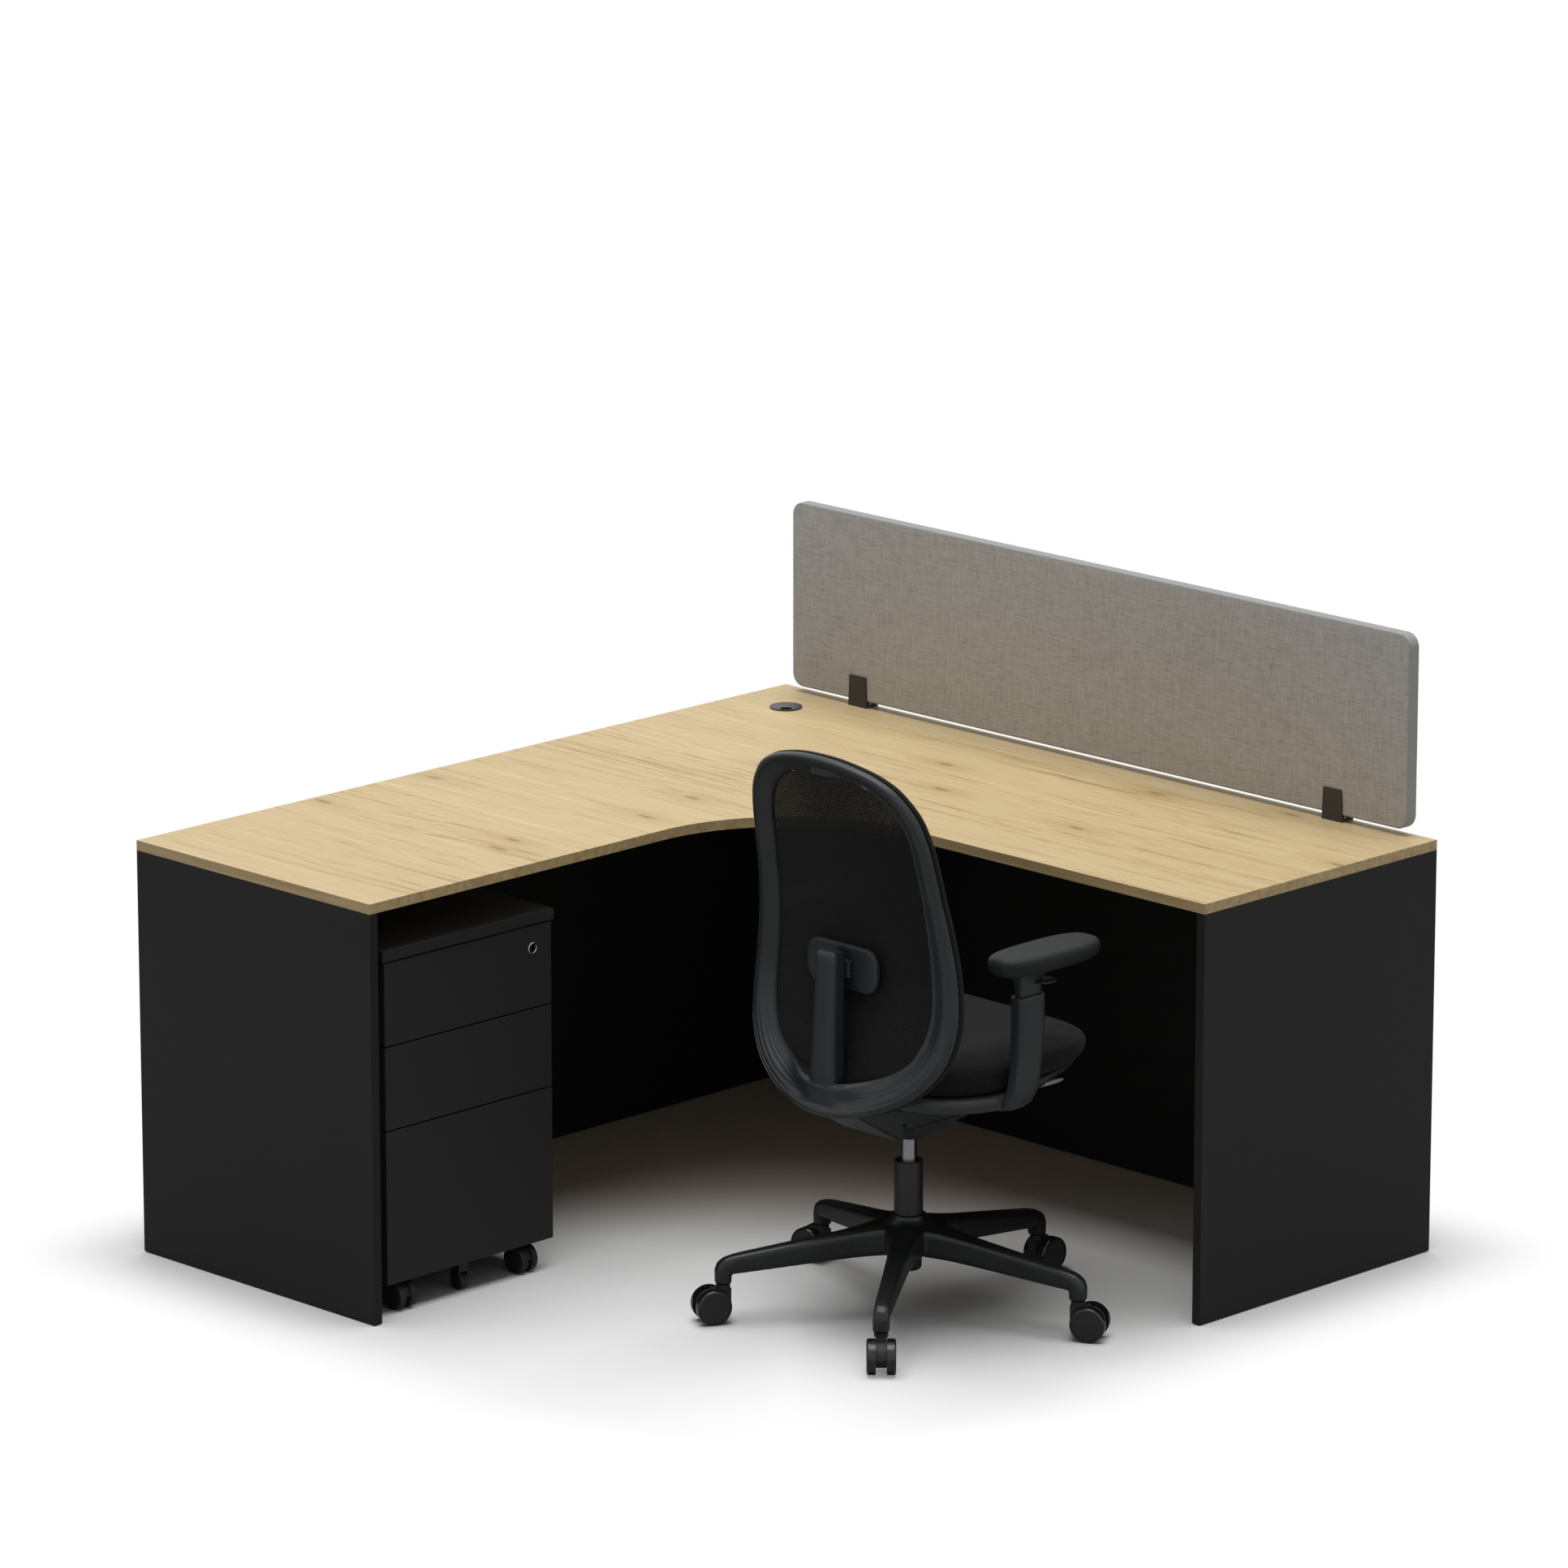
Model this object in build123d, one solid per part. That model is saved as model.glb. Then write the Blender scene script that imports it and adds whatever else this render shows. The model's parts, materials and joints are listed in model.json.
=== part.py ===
from build123d import *
import os
from math import cos, degrees, pi, radians, sin, sqrt

# An office workstation: an L-shaped desk with a screen, a mobile drawer pedestal under its left
# wing and a swivel chair in its corner. Millimetres, +Z up, origin on the floor under the middle
# of the desk. The long rear edge lies along X at the back (+Y), the left wing runs towards -Y.

# Shared clearances and one overrun for every cut
run_gap = 0.05          # radial gap of a shaft in its bore
slide_gap = 0.15        # gap each side of a sliding guide
seat_gap = 0.3          # gap at which one piece rests on another of a different body
overrun = 5.0

# Desk
desk_length = 1600.0
desk_depth = 1600.0
desk_height = 750.0
wing_depth = 600.0
board_thickness = 18.0
inner_corner_radius = 300.0
glide_height = 2.0
glide_diameter = 15.0
glide_pin_diameter = 5.0
glide_pin_length = 12.0
glide_inset = 60.0

# Angle brackets and their screws
bracket_leg = 38.0
bracket_width = 40.0
bracket_thickness = 2.0
bracket_edge_inset = 10.0
bracket_spread = 250.0
panel_bracket_low = 220.0
panel_bracket_high = 560.0
screw_diameter = 4.0
screw_length = 14.0
screw_head_diameter = 8.0
screw_head_height = 2.4

# Cable grommet
grommet_inset = 128.0
grommet_diameter = 60.0
grommet_flange = 3.0
grommet_tube_diameter = 52.0
grommet_bore = 48.0
grommet_tube_length = 22.0
cap_diameter = 55.0
cap_thickness = 1.8
cap_skirt_height = 6.0
cap_skirt_wall = 2.0
cap_slot_width = 20.0
cap_slot_depth = 17.0
cap_slot_angle = -45.0

# Screen and its clips
screen_length = 1510.0
screen_height = 350.0
screen_thickness = 25.0
screen_lift = 12.0
screen_corner_radius = 25.0
screen_edge_round = 2.0
clip_offset = 583.0
clip_plate = 3.0
clip_height = 58.0
clip_width = 47.0
clip_top_width = 42.0
clip_floor = 5.0
clip_rest_width = 16.0

# Pedestal
pedestal_width = 402.0
pedestal_head_gap = 78.0
pedestal_top_thickness = 20.0
pedestal_front_inset = 20.0
pedestal_depth = 520.0
pedestal_side_gap = 27.0
top_overhang = 2.0
front_width = 392.0
front_thickness = 18.0
upper_front_height = 147.0
front_drop = 3.0
front_gap = 3.0
front_edge_round = 0.8
carcass_board = 16.0
carcass_inset = 2.0
carcass_front_gap = 2.0
carcass_floor = 60.0
runner_space = 12.7
runner_length = 450.0
runner_height = 45.0
runner_wall = 1.5
runner_member_depth = 10.0
box_depth = 450.0
box_wall = 12.0
box_floor = 6.0
box_floor_lift = 6.0
box_head_gaps = (75.0, 75.0, 54.0)
box_lifts = (22.0, 22.0, 23.0)
runner_lift = 36.0

# Lock
lock_side_inset = 44.5
lock_drop = 40.0
lock_ring_diameter = 21.0
lock_ring_height = 2.0
lock_barrel_diameter = 16.0
lock_barrel_length = 23.0
keyway_width = 2.0
keyway_height = 8.0
keyway_depth = 6.0
cam_length = 20.0
cam_width = 9.0
cam_thickness = 2.5

# Anti-tilt wheel under the lowest drawer
stay_width = 22.0
stay_length = 22.0
stay_wall = 3.0
stay_wheel_diameter = 30.0
stay_wheel_lift = 1.0
stay_axle_diameter = 5.0
stay_side_gap = 0.5
stay_notch = 40.0
stay_notch_gap = 4.0

# Casters: the same form in two sizes, all in millimetres
pedestal_caster = dict(
    wheel=50.0,
    width=38.0,
    tread=13.5,
    neck=15.0,
    trail=18.0,
    axle=6.0,
    strap=3.0,
    drum=30.0,
    tread_round=3.0,
    disc_inset=1.0,
    disc_rim=4.5,
    side_gap=0.4,
    mouth=carcass_floor - seat_gap,
    pin=9.0,
    pin_length=8.0,
)
post_bottom = 68.0
chair_caster = dict(
    wheel=62.0,
    width=50.0,
    tread=15.5,
    neck=24.5,
    trail=21.0,
    axle=8.0,
    strap=4.5,
    drum=38.0,
    tread_round=4.0,
    disc_inset=1.0,
    disc_rim=5.0,
    side_gap=0.5,
    mouth=post_bottom - seat_gap,
    pin=11.0,
    pin_length=28.0,
)
pedestal_caster_side_inset = 52.0
pedestal_caster_front_inset = 46.0
pedestal_caster_rear_inset = 46.0

# Chair place, base and gas lift
chair_side_inset = 410.5
chair_setback = 294.6
leg_count = 5
leg_first_angle = 18.0
leg_radius = 322.5
leg_end_width = 30.0
leg_end_margin = 0.5     # keeps the turned outline just outside the round leg ends
leg_root_width = 56.0
leg_valley_radius = 26.0
leg_end_top = 112.0
leg_end_under = 84.0
leg_root_top = 164.0
leg_root_under = 112.0
leg_root_reach = 52.0
post_shoulder_round = 13.0
post_inner_round = 9.0
hub_radius = 48.0
hub_ring_diameter = 61.0
hub_rise = 16.0
hub_ring_height = 6.0
hub_foot_diameter = 46.0
hub_foot = 79.0
column_foot = 116.0
caster_headings = (29.0, 90.0, 190.0, 242.0, 315.0)
column_diameter = 50.0
column_top = 275.0
column_wall_bottom = 6.0
column_lip = 3.0
rod_diameter = 28.0
rod_bottom = 155.0
rod_top = 385.0

# Tilt mechanism and recline bar
mechanism_width = 120.0
mechanism_front = 115.0
mechanism_rear = 65.0
mechanism_bottom = 352.0
mechanism_boss_bottom = 319.0
mechanism_boss_diameter = 62.0
mechanism_round = 10.0
mechanism_draft = 2.0
recline_back = 30.0
recline_height = 385.0
recline_pin_diameter = 12.0
recline_cheek = 6.0
recline_cheek_gap = 0.3
recline_cheek_height = 34.0
recline_scoop_width = 150.0
recline_scoop_depth = 62.0
recline_scoop_end_depth = 24.0
recline_scoop_round = 10.0
recline_bar_thickness = 16.0
recline_bar_back = 100.0
recline_bar_reach = 204.0
recline_bar_end_height = 420.0

# Seat
seat_width = 486.0
seat_front = 250.0
seat_rear = 150.0
seat_front_corner = 95.0
seat_rear_corner = 140.0
pan_under = 434.0
pan_thickness = 12.0
pan_inset = 14.0
pan_front_inset = 110.0
rim_height = 26.0
rim_drop = 4.0
rim_width = 10.0
rim_front = -32.0
cushion_height = 68.0
cushion_lip_back = 155.0
cushion_lip_rise = 34.0
cushion_levels_shares = (
    (0.0, 0.955), (0.22, 0.985), (0.5, 1.0), (0.74, 0.99), (0.9, 0.95), (0.97, 0.89), (1.0, 0.76),
)

# Height lever under the right side of the seat
lever_forward = 95.0
lever_height = 421.0
lever_rod_diameter = 9.0
lever_inset = 17.0
lever_entry = 12.0
paddle_width = 32.0
paddle_length = 58.0
paddle_thickness = 6.0

# Back: a pear-shaped frame on a surface that is bent both ways
back_bottom = 398.0
back_top = 1029.0
back_half_width = 238.0
back_thickness = 26.0
back_side_wrap = 34.0
mesh_thickness = 1.6
mesh_forward = 8.0
back_outline_shares = (
    (0.0, 0.0), (0.47, 0.036), (0.77, 0.098), (0.925, 0.175), (1.0, 0.299), (0.965, 0.44),
    (0.90, 0.62), (0.865, 0.76), (0.80, 0.865), (0.69, 0.924), (0.42, 0.978), (0.0, 1.0),
)
window_outline_shares = (
    (0.0, 0.095), (0.34, 0.116), (0.60, 0.165), (0.73, 0.235), (0.765, 0.32), (0.745, 0.46),
    (0.71, 0.64), (0.69, 0.76), (0.62, 0.855), (0.50, 0.905), (0.28, 0.937), (0.0, 0.945),
)
back_side_points = (
    (-208.0, 385.0), (-196.0, 440.0), (-180.0, 500.0), (-165.0, 565.0), (-157.0, 640.0),
    (-160.0, 720.0), (-171.0, 800.0), (-190.0, 900.0), (-214.0, 1000.0), (-224.0, 1045.0),
)
spine_width = 46.0
spine_depth = 32.0
spine_y = -192.0
spine_foot_width = 54.0
spine_foot_depth = 38.0
spine_foot_y = -206.0
spine_bottom = 436.0
spine_top = 686.0
spine_round = 13.0
spine_groove_width = 12.0
spine_groove_depth = 8.0
spine_groove_bottom = 600.0

# Lumbar plate
lumbar_width = 165.0
lumbar_height = 78.0
lumbar_thickness = 10.0
lumbar_front_y = -155.5
lumbar_centre_z = 652.0
lumbar_corner = 28.0
lumbar_edge_round = 3.0
lumbar_lug_width = 26.0
lumbar_lug_height = 40.0

# Arms
arm_gap = 6.0
arm_y = 13.6
sleeve_thickness = 32.0
sleeve_width = 62.0
sleeve_top = 619.0
sleeve_round = 12.0
sleeve_wall = 5.0
arm_bend_radius = 36.0
arm_root_thickness = 18.0
arm_inner_bend_radius = 12.0
arm_root_reach = 105.0
arm_root_round = 7.0
pocket_bottom = 458.0
slider_bottom = 466.0
slider_top = 640.0
carrier_length = 74.0
carrier_width = 46.0
carrier_height = 21.4
carrier_round = 6.0
button_length = 46.0
button_width = 26.0
button_thickness = 5.0
button_drop = 5.0
pad_length = 240.0
pad_width = 95.0
pad_thickness = 36.0
pad_bottom = 662.0
pad_corner = 44.0
pad_round = 13.0
pad_forward = 36.0
pad_side_offset = 3.0

# Places worked out from the sizes
half_length = desk_length / 2
half_depth = desk_depth / 2
top_under = desk_height - board_thickness
wing_edge_x = -half_length + wing_depth
wing_edge_y = half_depth - wing_depth
pedestal_height = top_under - pedestal_head_gap
pedestal_front_x = wing_edge_x - pedestal_front_inset
pedestal_centre_y = -half_depth + board_thickness + pedestal_side_gap + pedestal_width / 2
pedestal_top_under = pedestal_height - pedestal_top_thickness
lowest_front_height = (
    pedestal_top_under - carcass_floor + front_drop - 2 * upper_front_height - 3 * front_gap
)
front_heights = (upper_front_height, upper_front_height, lowest_front_height)
chair_x = half_length - chair_side_inset
chair_y = wing_edge_y - chair_setback
hub_top = leg_root_top + hub_rise
arm_offset = seat_width / 2 + arm_gap + sleeve_thickness / 2
lever_reach = seat_width / 2 - lever_inset


def block(x0, x1, y0, y1, z0, z1):
    """A box between two corners."""
    centre = Pos((x0 + x1) / 2, (y0 + y1) / 2, (z0 + z1) / 2)
    return centre * Box(abs(x1 - x0), abs(y1 - y0), abs(z1 - z0))


def bar_between(start, end, radius):
    """A round bar from one point to another."""
    a, b = Vector(*start), Vector(*end)
    plane = Plane(origin=a, z_dir=b - a)
    return extrude(plane * Circle(radius), (b - a).length)


def upright(radius, z0, z1, x=0.0, y=0.0):
    """A round bar standing along Z."""
    return bar_between((x, y, z0), (x, y, z1), radius)


def solids_group(shapes):
    """One node of separate solids."""
    found = []
    for shape in shapes:
        found.extend(shape.solids())
    return Compound(children=found)


def screw_local(length):
    """A pan-head screw whose head sits on the plane of its shank's start."""
    head = Cylinder(screw_head_diameter / 2, screw_head_height, align=(Align.CENTER, Align.CENTER, Align.MIN))
    shank = Cylinder(screw_diameter / 2, length, align=(Align.CENTER, Align.CENTER, Align.MAX))
    return head + shank


def bracket_places():
    """Where each angle bracket sits: the corner point and the directions of its two legs."""
    inner_x = half_length - board_thickness
    inner_y = half_depth - board_thickness
    down = (0, 0, -1)
    places = []
    for share in (-1, 1):
        places.append(((share * bracket_spread, inner_y, top_under), (0, -1, 0), down))
        places.append(((-inner_x, share * bracket_spread, top_under), (1, 0, 0), down))
    places.append((((wing_edge_x - half_length) / 2, -inner_y, top_under), (0, 1, 0), down))
    places.append(((inner_x, (wing_edge_y + half_depth) / 2, top_under), (-1, 0, 0), down))
    for height in (panel_bracket_low, panel_bracket_high):
        places.append(((inner_x, inner_y, height), (-1, 0, 0), (0, -1, 0)))
        places.append(((-inner_x, inner_y, height), (1, 0, 0), (0, -1, 0)))
        places.append(((-inner_x, -inner_y, height), (1, 0, 0), (0, 1, 0)))
    return [Plane(origin=point, x_dir=leg, z_dir=normal) for point, leg, normal in places]


def bracket_screw_places():
    """Screw positions in a bracket's own axes: head point and the direction in which the screw points."""
    far = bracket_leg - bracket_edge_inset
    side = bracket_width / 2 - bracket_edge_inset
    places = []
    for y in (-side, side):
        places.append(Pos(far, y, bracket_thickness))
        places.append(Pos(bracket_thickness, y, far) * Rot(0, 90, 0))
    return places


def panel_brackets():
    """Steel angle brackets that hold the panels to the worktop and to each other."""
    half = bracket_width / 2
    angle = block(0, bracket_leg, -half, half, 0, bracket_thickness)
    angle += block(0, bracket_thickness, -half, half, 0, bracket_leg)
    for place in bracket_screw_places():
        angle -= place * Cylinder(screw_diameter / 2 + run_gap, 2 * overrun)
    return solids_group(plane * angle for plane in bracket_places())


def clip_screw_places():
    """The two screws that hold each screen clip to the worktop."""
    y = half_depth - clip_plate - screen_thickness / 2
    reach = (clip_width + clip_rest_width) / 4
    return [
        Pos(side * clip_offset + step * reach, y, desk_height + clip_floor)
        for side in (-1, 1)
        for step in (-1, 1)
    ]


def screw_places():
    """Every screw of the desk, in the desk's axes."""
    places = [plane.location * place for plane in bracket_places() for place in bracket_screw_places()]
    return places + clip_screw_places()


def assembly_screws():
    """All wood screws of the desk as one group."""
    screw = screw_local(screw_length)
    return solids_group(place * screw for place in screw_places())


def pilot_holes(places):
    """A bore for the shank of each screw."""
    bore = Cylinder(
        screw_diameter / 2 + run_gap, screw_length + run_gap, align=(Align.CENTER, Align.CENTER, Align.MAX)
    )
    return [place * bore for place in places]


def glide_places():
    """The floor glides under the four panels."""
    edge_x = half_length - board_thickness / 2
    edge_y = half_depth - board_thickness / 2
    return (
        (-half_length + glide_inset, -edge_y),
        (wing_edge_x - glide_inset, -edge_y),
        (edge_x, wing_edge_y + glide_inset),
        (edge_x, half_depth - glide_inset),
        (half_length - board_thickness - glide_inset, edge_y),
        (0, edge_y),
        (-half_length + glide_inset, edge_y),
        (-edge_x, 0),
        (-edge_x, -half_depth + board_thickness + glide_inset),
    )


def floor_glides():
    """Nail-in plastic glides."""
    glides = []
    for x, y in glide_places():
        disc = upright(glide_diameter / 2, 0, glide_height, x, y)
        glides.append(disc + upright(glide_pin_diameter / 2, 0, glide_height + glide_pin_length, x, y))
    return solids_group(glides)


def drilled(board):
    """A board with the bores of the screws and glide pins that reach it."""
    box = board.bounding_box()
    tools = pilot_holes(screw_places())
    glide_bore_top = glide_height + glide_pin_length + run_gap
    for x, y in glide_places():
        tools.append(upright(glide_pin_diameter / 2 + run_gap, -overrun, glide_bore_top, x, y))
    for tool in tools:
        spot = tool.bounding_box()
        apart = (
            spot.max.X < box.min.X or spot.min.X > box.max.X
            or spot.max.Y < box.min.Y or spot.min.Y > box.max.Y
            or spot.max.Z < box.min.Z or spot.min.Z > box.max.Z
        )
        if not apart:
            board -= tool
    return board


def worktop():
    """The L-shaped board with its rounded inner corner and the hole of the grommet."""
    outline = Polyline(
        (-half_length, half_depth),
        (half_length, half_depth),
        (half_length, wing_edge_y),
        (wing_edge_x, wing_edge_y),
        (wing_edge_x, -half_depth),
        (-half_length, -half_depth),
        close=True,
    )
    face = make_face(outline)
    corner = face.vertices().sort_by_distance((wing_edge_x, wing_edge_y, 0))[0]
    face = fillet(corner, inner_corner_radius)
    board = Pos(0, 0, top_under) * extrude(face, board_thickness)
    board -= upright(
        grommet_tube_diameter / 2 + run_gap,
        top_under - overrun,
        desk_height + overrun,
        -half_length + grommet_inset,
        half_depth - grommet_inset,
    )
    return drilled(board)


def left_end_panel():
    """The panel that closes the left wing's end."""
    return drilled(block(
        -half_length, wing_edge_x, -half_depth, -half_depth + board_thickness, glide_height, top_under
    ))


def right_end_panel():
    """The panel that closes the right wing's end."""
    return drilled(block(
        half_length - board_thickness, half_length, wing_edge_y, half_depth, glide_height, top_under
    ))


def rear_modesty_panel():
    """The panel along the long rear edge."""
    return drilled(block(
        -half_length,
        half_length - board_thickness,
        half_depth - board_thickness,
        half_depth,
        glide_height,
        top_under,
    ))


def side_modesty_panel():
    """The panel along the left wing's outer edge."""
    return drilled(block(
        -half_length,
        -half_length + board_thickness,
        -half_depth + board_thickness,
        half_depth - board_thickness,
        glide_height,
        top_under,
    ))


def grommet_sleeve():
    """The fixed sleeve, with a recess for its cap."""
    x, y = -half_length + grommet_inset, half_depth - grommet_inset
    top = desk_height + grommet_flange
    sleeve = upright(grommet_tube_diameter / 2, top - grommet_flange - grommet_tube_length, top, x, y)
    sleeve += upright(grommet_diameter / 2, desk_height, top, x, y)
    sleeve -= upright(grommet_bore / 2, desk_height - grommet_tube_length - overrun, top + overrun, x, y)
    sleeve -= upright(cap_diameter / 2 + run_gap, top - cap_thickness - run_gap, top + overrun, x, y)
    return sleeve


def grommet_cap():
    """The turning cap, with a skirt in the sleeve's bore and a slot for cables."""
    x, y = -half_length + grommet_inset, half_depth - grommet_inset
    top = desk_height + grommet_flange
    skirt_radius = grommet_bore / 2 - run_gap
    cap = upright(skirt_radius, top - cap_thickness - cap_skirt_height, top, x, y)
    cap -= upright(
        skirt_radius - cap_skirt_wall, top - cap_thickness - cap_skirt_height - overrun, top - cap_thickness, x, y
    )
    cap += upright(cap_diameter / 2, top - cap_thickness, top, x, y)
    half = cap_slot_width / 2
    slot = block(
        cap_diameter / 2 - cap_slot_depth, cap_diameter / 2 + overrun, -half, half, -overrun, grommet_tube_length
    )
    return cap - Pos(x, y, top - grommet_tube_length + overrun) * Rot(0, 0, cap_slot_angle) * slot


def privacy_screen():
    """The upholstered board that stands along the rear edge."""
    face = RectangleRounded(screen_length, screen_height, screen_corner_radius)
    board = extrude(face, screen_thickness)
    board = fillet(board.edges(), screen_edge_round)
    middle = desk_height + screen_lift + screen_height / 2
    return Pos(0, half_depth - clip_plate, middle) * Rot(90, 0, 0) * board


def screen_clips():
    """Two U-shaped clips that grip the screen's lower edge."""
    rear = half_depth
    front = half_depth - 2 * clip_plate - screen_thickness
    plate_face = make_face(Polyline(
        (-clip_width / 2, 0),
        (clip_width / 2, 0),
        (clip_top_width / 2, clip_height),
        (-clip_top_width / 2, clip_height),
        close=True,
    ))
    plate = Rot(90, 0, 0) * extrude(plate_face, clip_plate)
    clip = Pos(0, rear, 0) * plate + Pos(0, front + clip_plate, 0) * plate
    clip += block(-clip_width / 2, clip_width / 2, front, rear, 0, clip_floor)
    half = clip_rest_width / 2
    clip += block(-half, half, front + clip_plate, rear - clip_plate, clip_floor, screen_lift)
    clips = [Pos(side * clip_offset, 0, desk_height) * clip for side in (-1, 1)]
    for hole in pilot_holes(clip_screw_places()):
        clips = [one - hole for one in clips]
    return solids_group(clips)


# Places on the pedestal
front_back_x = pedestal_front_x - front_thickness
carcass_front_x = front_back_x - carcass_front_gap
pedestal_rear_x = pedestal_front_x - pedestal_depth
carcass_half = front_width / 2 - carcass_inset
carcass_inner = carcass_half - carcass_board
front_tops = [
    pedestal_top_under - front_gap - sum(front_heights[:i]) - i * front_gap for i in range(len(front_heights))
]
front_bottoms = [top - height for top, height in zip(front_tops, front_heights)]
box_heights = [height - gap for height, gap in zip(front_heights, box_head_gaps)]
box_bottoms = [bottom + lift for bottom, lift in zip(front_bottoms, box_lifts)]
box_half = carcass_inner - runner_space
lock_y = pedestal_centre_y + front_width / 2 - lock_side_inset
lock_z = front_tops[0] - lock_drop
stay_x = front_back_x - carcass_front_gap - stay_length / 2
pedestal_caster_y = front_width / 2 - pedestal_caster_side_inset
pedestal_caster_places = [
    (x, pedestal_centre_y + side * pedestal_caster_y)
    for x in (pedestal_front_x - pedestal_caster_front_inset, pedestal_rear_x + pedestal_caster_rear_inset)
    for side in (-1, 1)
]


def in_pedestal(shape):
    """A shape drawn about the pedestal's middle plane, moved to its place under the left wing."""
    return Pos(0, pedestal_centre_y, 0) * shape


def pedestal_top():
    """The thick top board, which stands over the carcass on each side."""
    half = pedestal_width / 2
    board = block(
        pedestal_rear_x, pedestal_front_x + top_overhang, -half, half, pedestal_top_under, pedestal_height
    )
    return in_pedestal(fillet(board.edges(), front_edge_round))


def pedestal_carcass():
    """Two sides, the back and the bottom, each a separate board."""
    sides = [
        block(pedestal_rear_x, carcass_front_x, side * carcass_inner, side * carcass_half, carcass_floor,
              pedestal_top_under)
        for side in (-1, 1)
    ]
    inner_x = pedestal_rear_x + carcass_board
    back = block(pedestal_rear_x, inner_x, -carcass_inner, carcass_inner, carcass_floor, pedestal_top_under)
    floor_top = carcass_floor + carcass_board
    bottom = block(inner_x, carcass_front_x, -carcass_inner, carcass_inner, carcass_floor, floor_top)
    half = stay_notch / 2
    bottom -= block(
        stay_x - stay_length / 2 - stay_notch_gap, carcass_front_x + overrun, -half, half,
        carcass_floor - overrun, floor_top + overrun,
    )
    sizes = pedestal_caster
    boards = [in_pedestal(board) for board in [*sides, back, bottom]]
    radius = sizes["pin"] / 2 + run_gap
    bore_top = sizes["mouth"] + sizes["pin_length"] + seat_gap
    bores = [upright(radius, carcass_floor - overrun, bore_top, x, y) for x, y in pedestal_caster_places]
    for bore in bores:
        boards = [board - bore for board in boards]
    return solids_group(boards)


def drawer_runners():
    """The cabinet members of the three pairs of runners, open towards the drawers."""
    channel = block(-runner_length, 0, 0, runner_member_depth, -runner_height / 2, runner_height / 2)
    channel -= block(
        -runner_length - overrun, overrun, runner_wall, runner_member_depth + overrun,
        -runner_height / 2 + runner_wall, runner_height / 2 - runner_wall,
    )
    members = []
    for bottom in box_bottoms:
        for side in (-1, 1):
            turned = channel if side < 0 else mirror(channel, Plane.XZ)
            place = Pos(carcass_front_x, side * carcass_inner, bottom + runner_lift)
            members.append(in_pedestal(place * turned))
    return solids_group(members)


def drawer_front(number):
    """One drawer front with its edges just broken."""
    half = front_width / 2
    board = block(front_back_x, pedestal_front_x, -half, half, front_bottoms[number], front_tops[number])
    board = in_pedestal(fillet(board.edges(), front_edge_round))
    if number == 0:
        radius = lock_barrel_diameter / 2 + run_gap
        board -= bar_between(
            (front_back_x - overrun, lock_y, lock_z), (pedestal_front_x + overrun, lock_y, lock_z), radius
        )
    return board


def drawer_box(number):
    """The open box of a drawer, with its two runner members."""
    bottom = box_bottoms[number]
    top = bottom + box_heights[number]
    rear = front_back_x - box_depth
    box = block(rear, front_back_x, -box_half, box_half, bottom, top)
    inner = box_half - box_wall
    floor_top = bottom + box_floor_lift + box_floor
    box -= block(rear + box_wall, front_back_x - box_wall, -inner, inner, floor_top, top + overrun)
    box -= block(
        rear + box_wall, front_back_x - box_wall, -inner, inner, bottom - overrun, bottom + box_floor_lift
    )
    half = runner_height / 2 - runner_wall - slide_gap
    middle = bottom + runner_lift
    members = [
        block(
            carcass_front_x - runner_length, carcass_front_x, side * box_half,
            side * (carcass_inner - runner_wall - seat_gap), middle - half, middle + half,
        )
        for side in (-1, 1)
    ]
    return solids_group(in_pedestal(piece) for piece in [box, *members])


def lock_ring():
    """The chrome ring round the lock."""
    start = (pedestal_front_x, lock_y, lock_z)
    end = (pedestal_front_x + lock_ring_height, lock_y, lock_z)
    ring = bar_between(start, end, lock_ring_diameter / 2)
    ring = fillet(ring.edges().sort_by(Axis.X)[-1], lock_ring_height / 2)
    beyond = (pedestal_front_x + lock_ring_height + overrun, lock_y, lock_z)
    before = (pedestal_front_x - overrun, lock_y, lock_z)
    return ring - bar_between(before, beyond, lock_barrel_diameter / 2 + run_gap)


def lock_barrel():
    """The turning barrel with its keyway and the cam behind the drawer front."""
    face_x = pedestal_front_x + lock_ring_height / 2
    end_x = face_x - lock_barrel_length
    barrel = bar_between((end_x, lock_y, lock_z), (face_x, lock_y, lock_z), lock_barrel_diameter / 2)
    half = keyway_width / 2
    barrel -= block(
        face_x - keyway_depth, face_x + overrun, lock_y - half, lock_y + half,
        lock_z - keyway_height / 2, lock_z + keyway_height / 2,
    )
    half = cam_width / 2
    cam = block(end_x, end_x + cam_thickness, lock_y - cam_length, lock_y, lock_z - half, lock_z + half)
    return barrel + cam


def anti_tilt_bracket():
    """The fork under the lowest drawer that holds the anti-tilt wheel on its axle."""
    axle_z = stay_wheel_lift + stay_wheel_diameter / 2
    top = box_bottoms[-1]
    half = stay_width / 2
    x0, x1 = stay_x - stay_length / 2, stay_x + stay_length / 2
    fork = block(x0, x1, -half, half, axle_z, top)
    fork += bar_between((stay_x, -half, axle_z), (stay_x, half, axle_z), stay_length / 2)
    inner = half - stay_wall
    wheel_top = axle_z + stay_wheel_diameter / 2 + stay_wall
    fork -= block(x0 - overrun, x1 + overrun, -inner, inner, -overrun, wheel_top)
    fork += bar_between((stay_x, -half, axle_z), (stay_x, half, axle_z), stay_axle_diameter / 2)
    return in_pedestal(fork)


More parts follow.
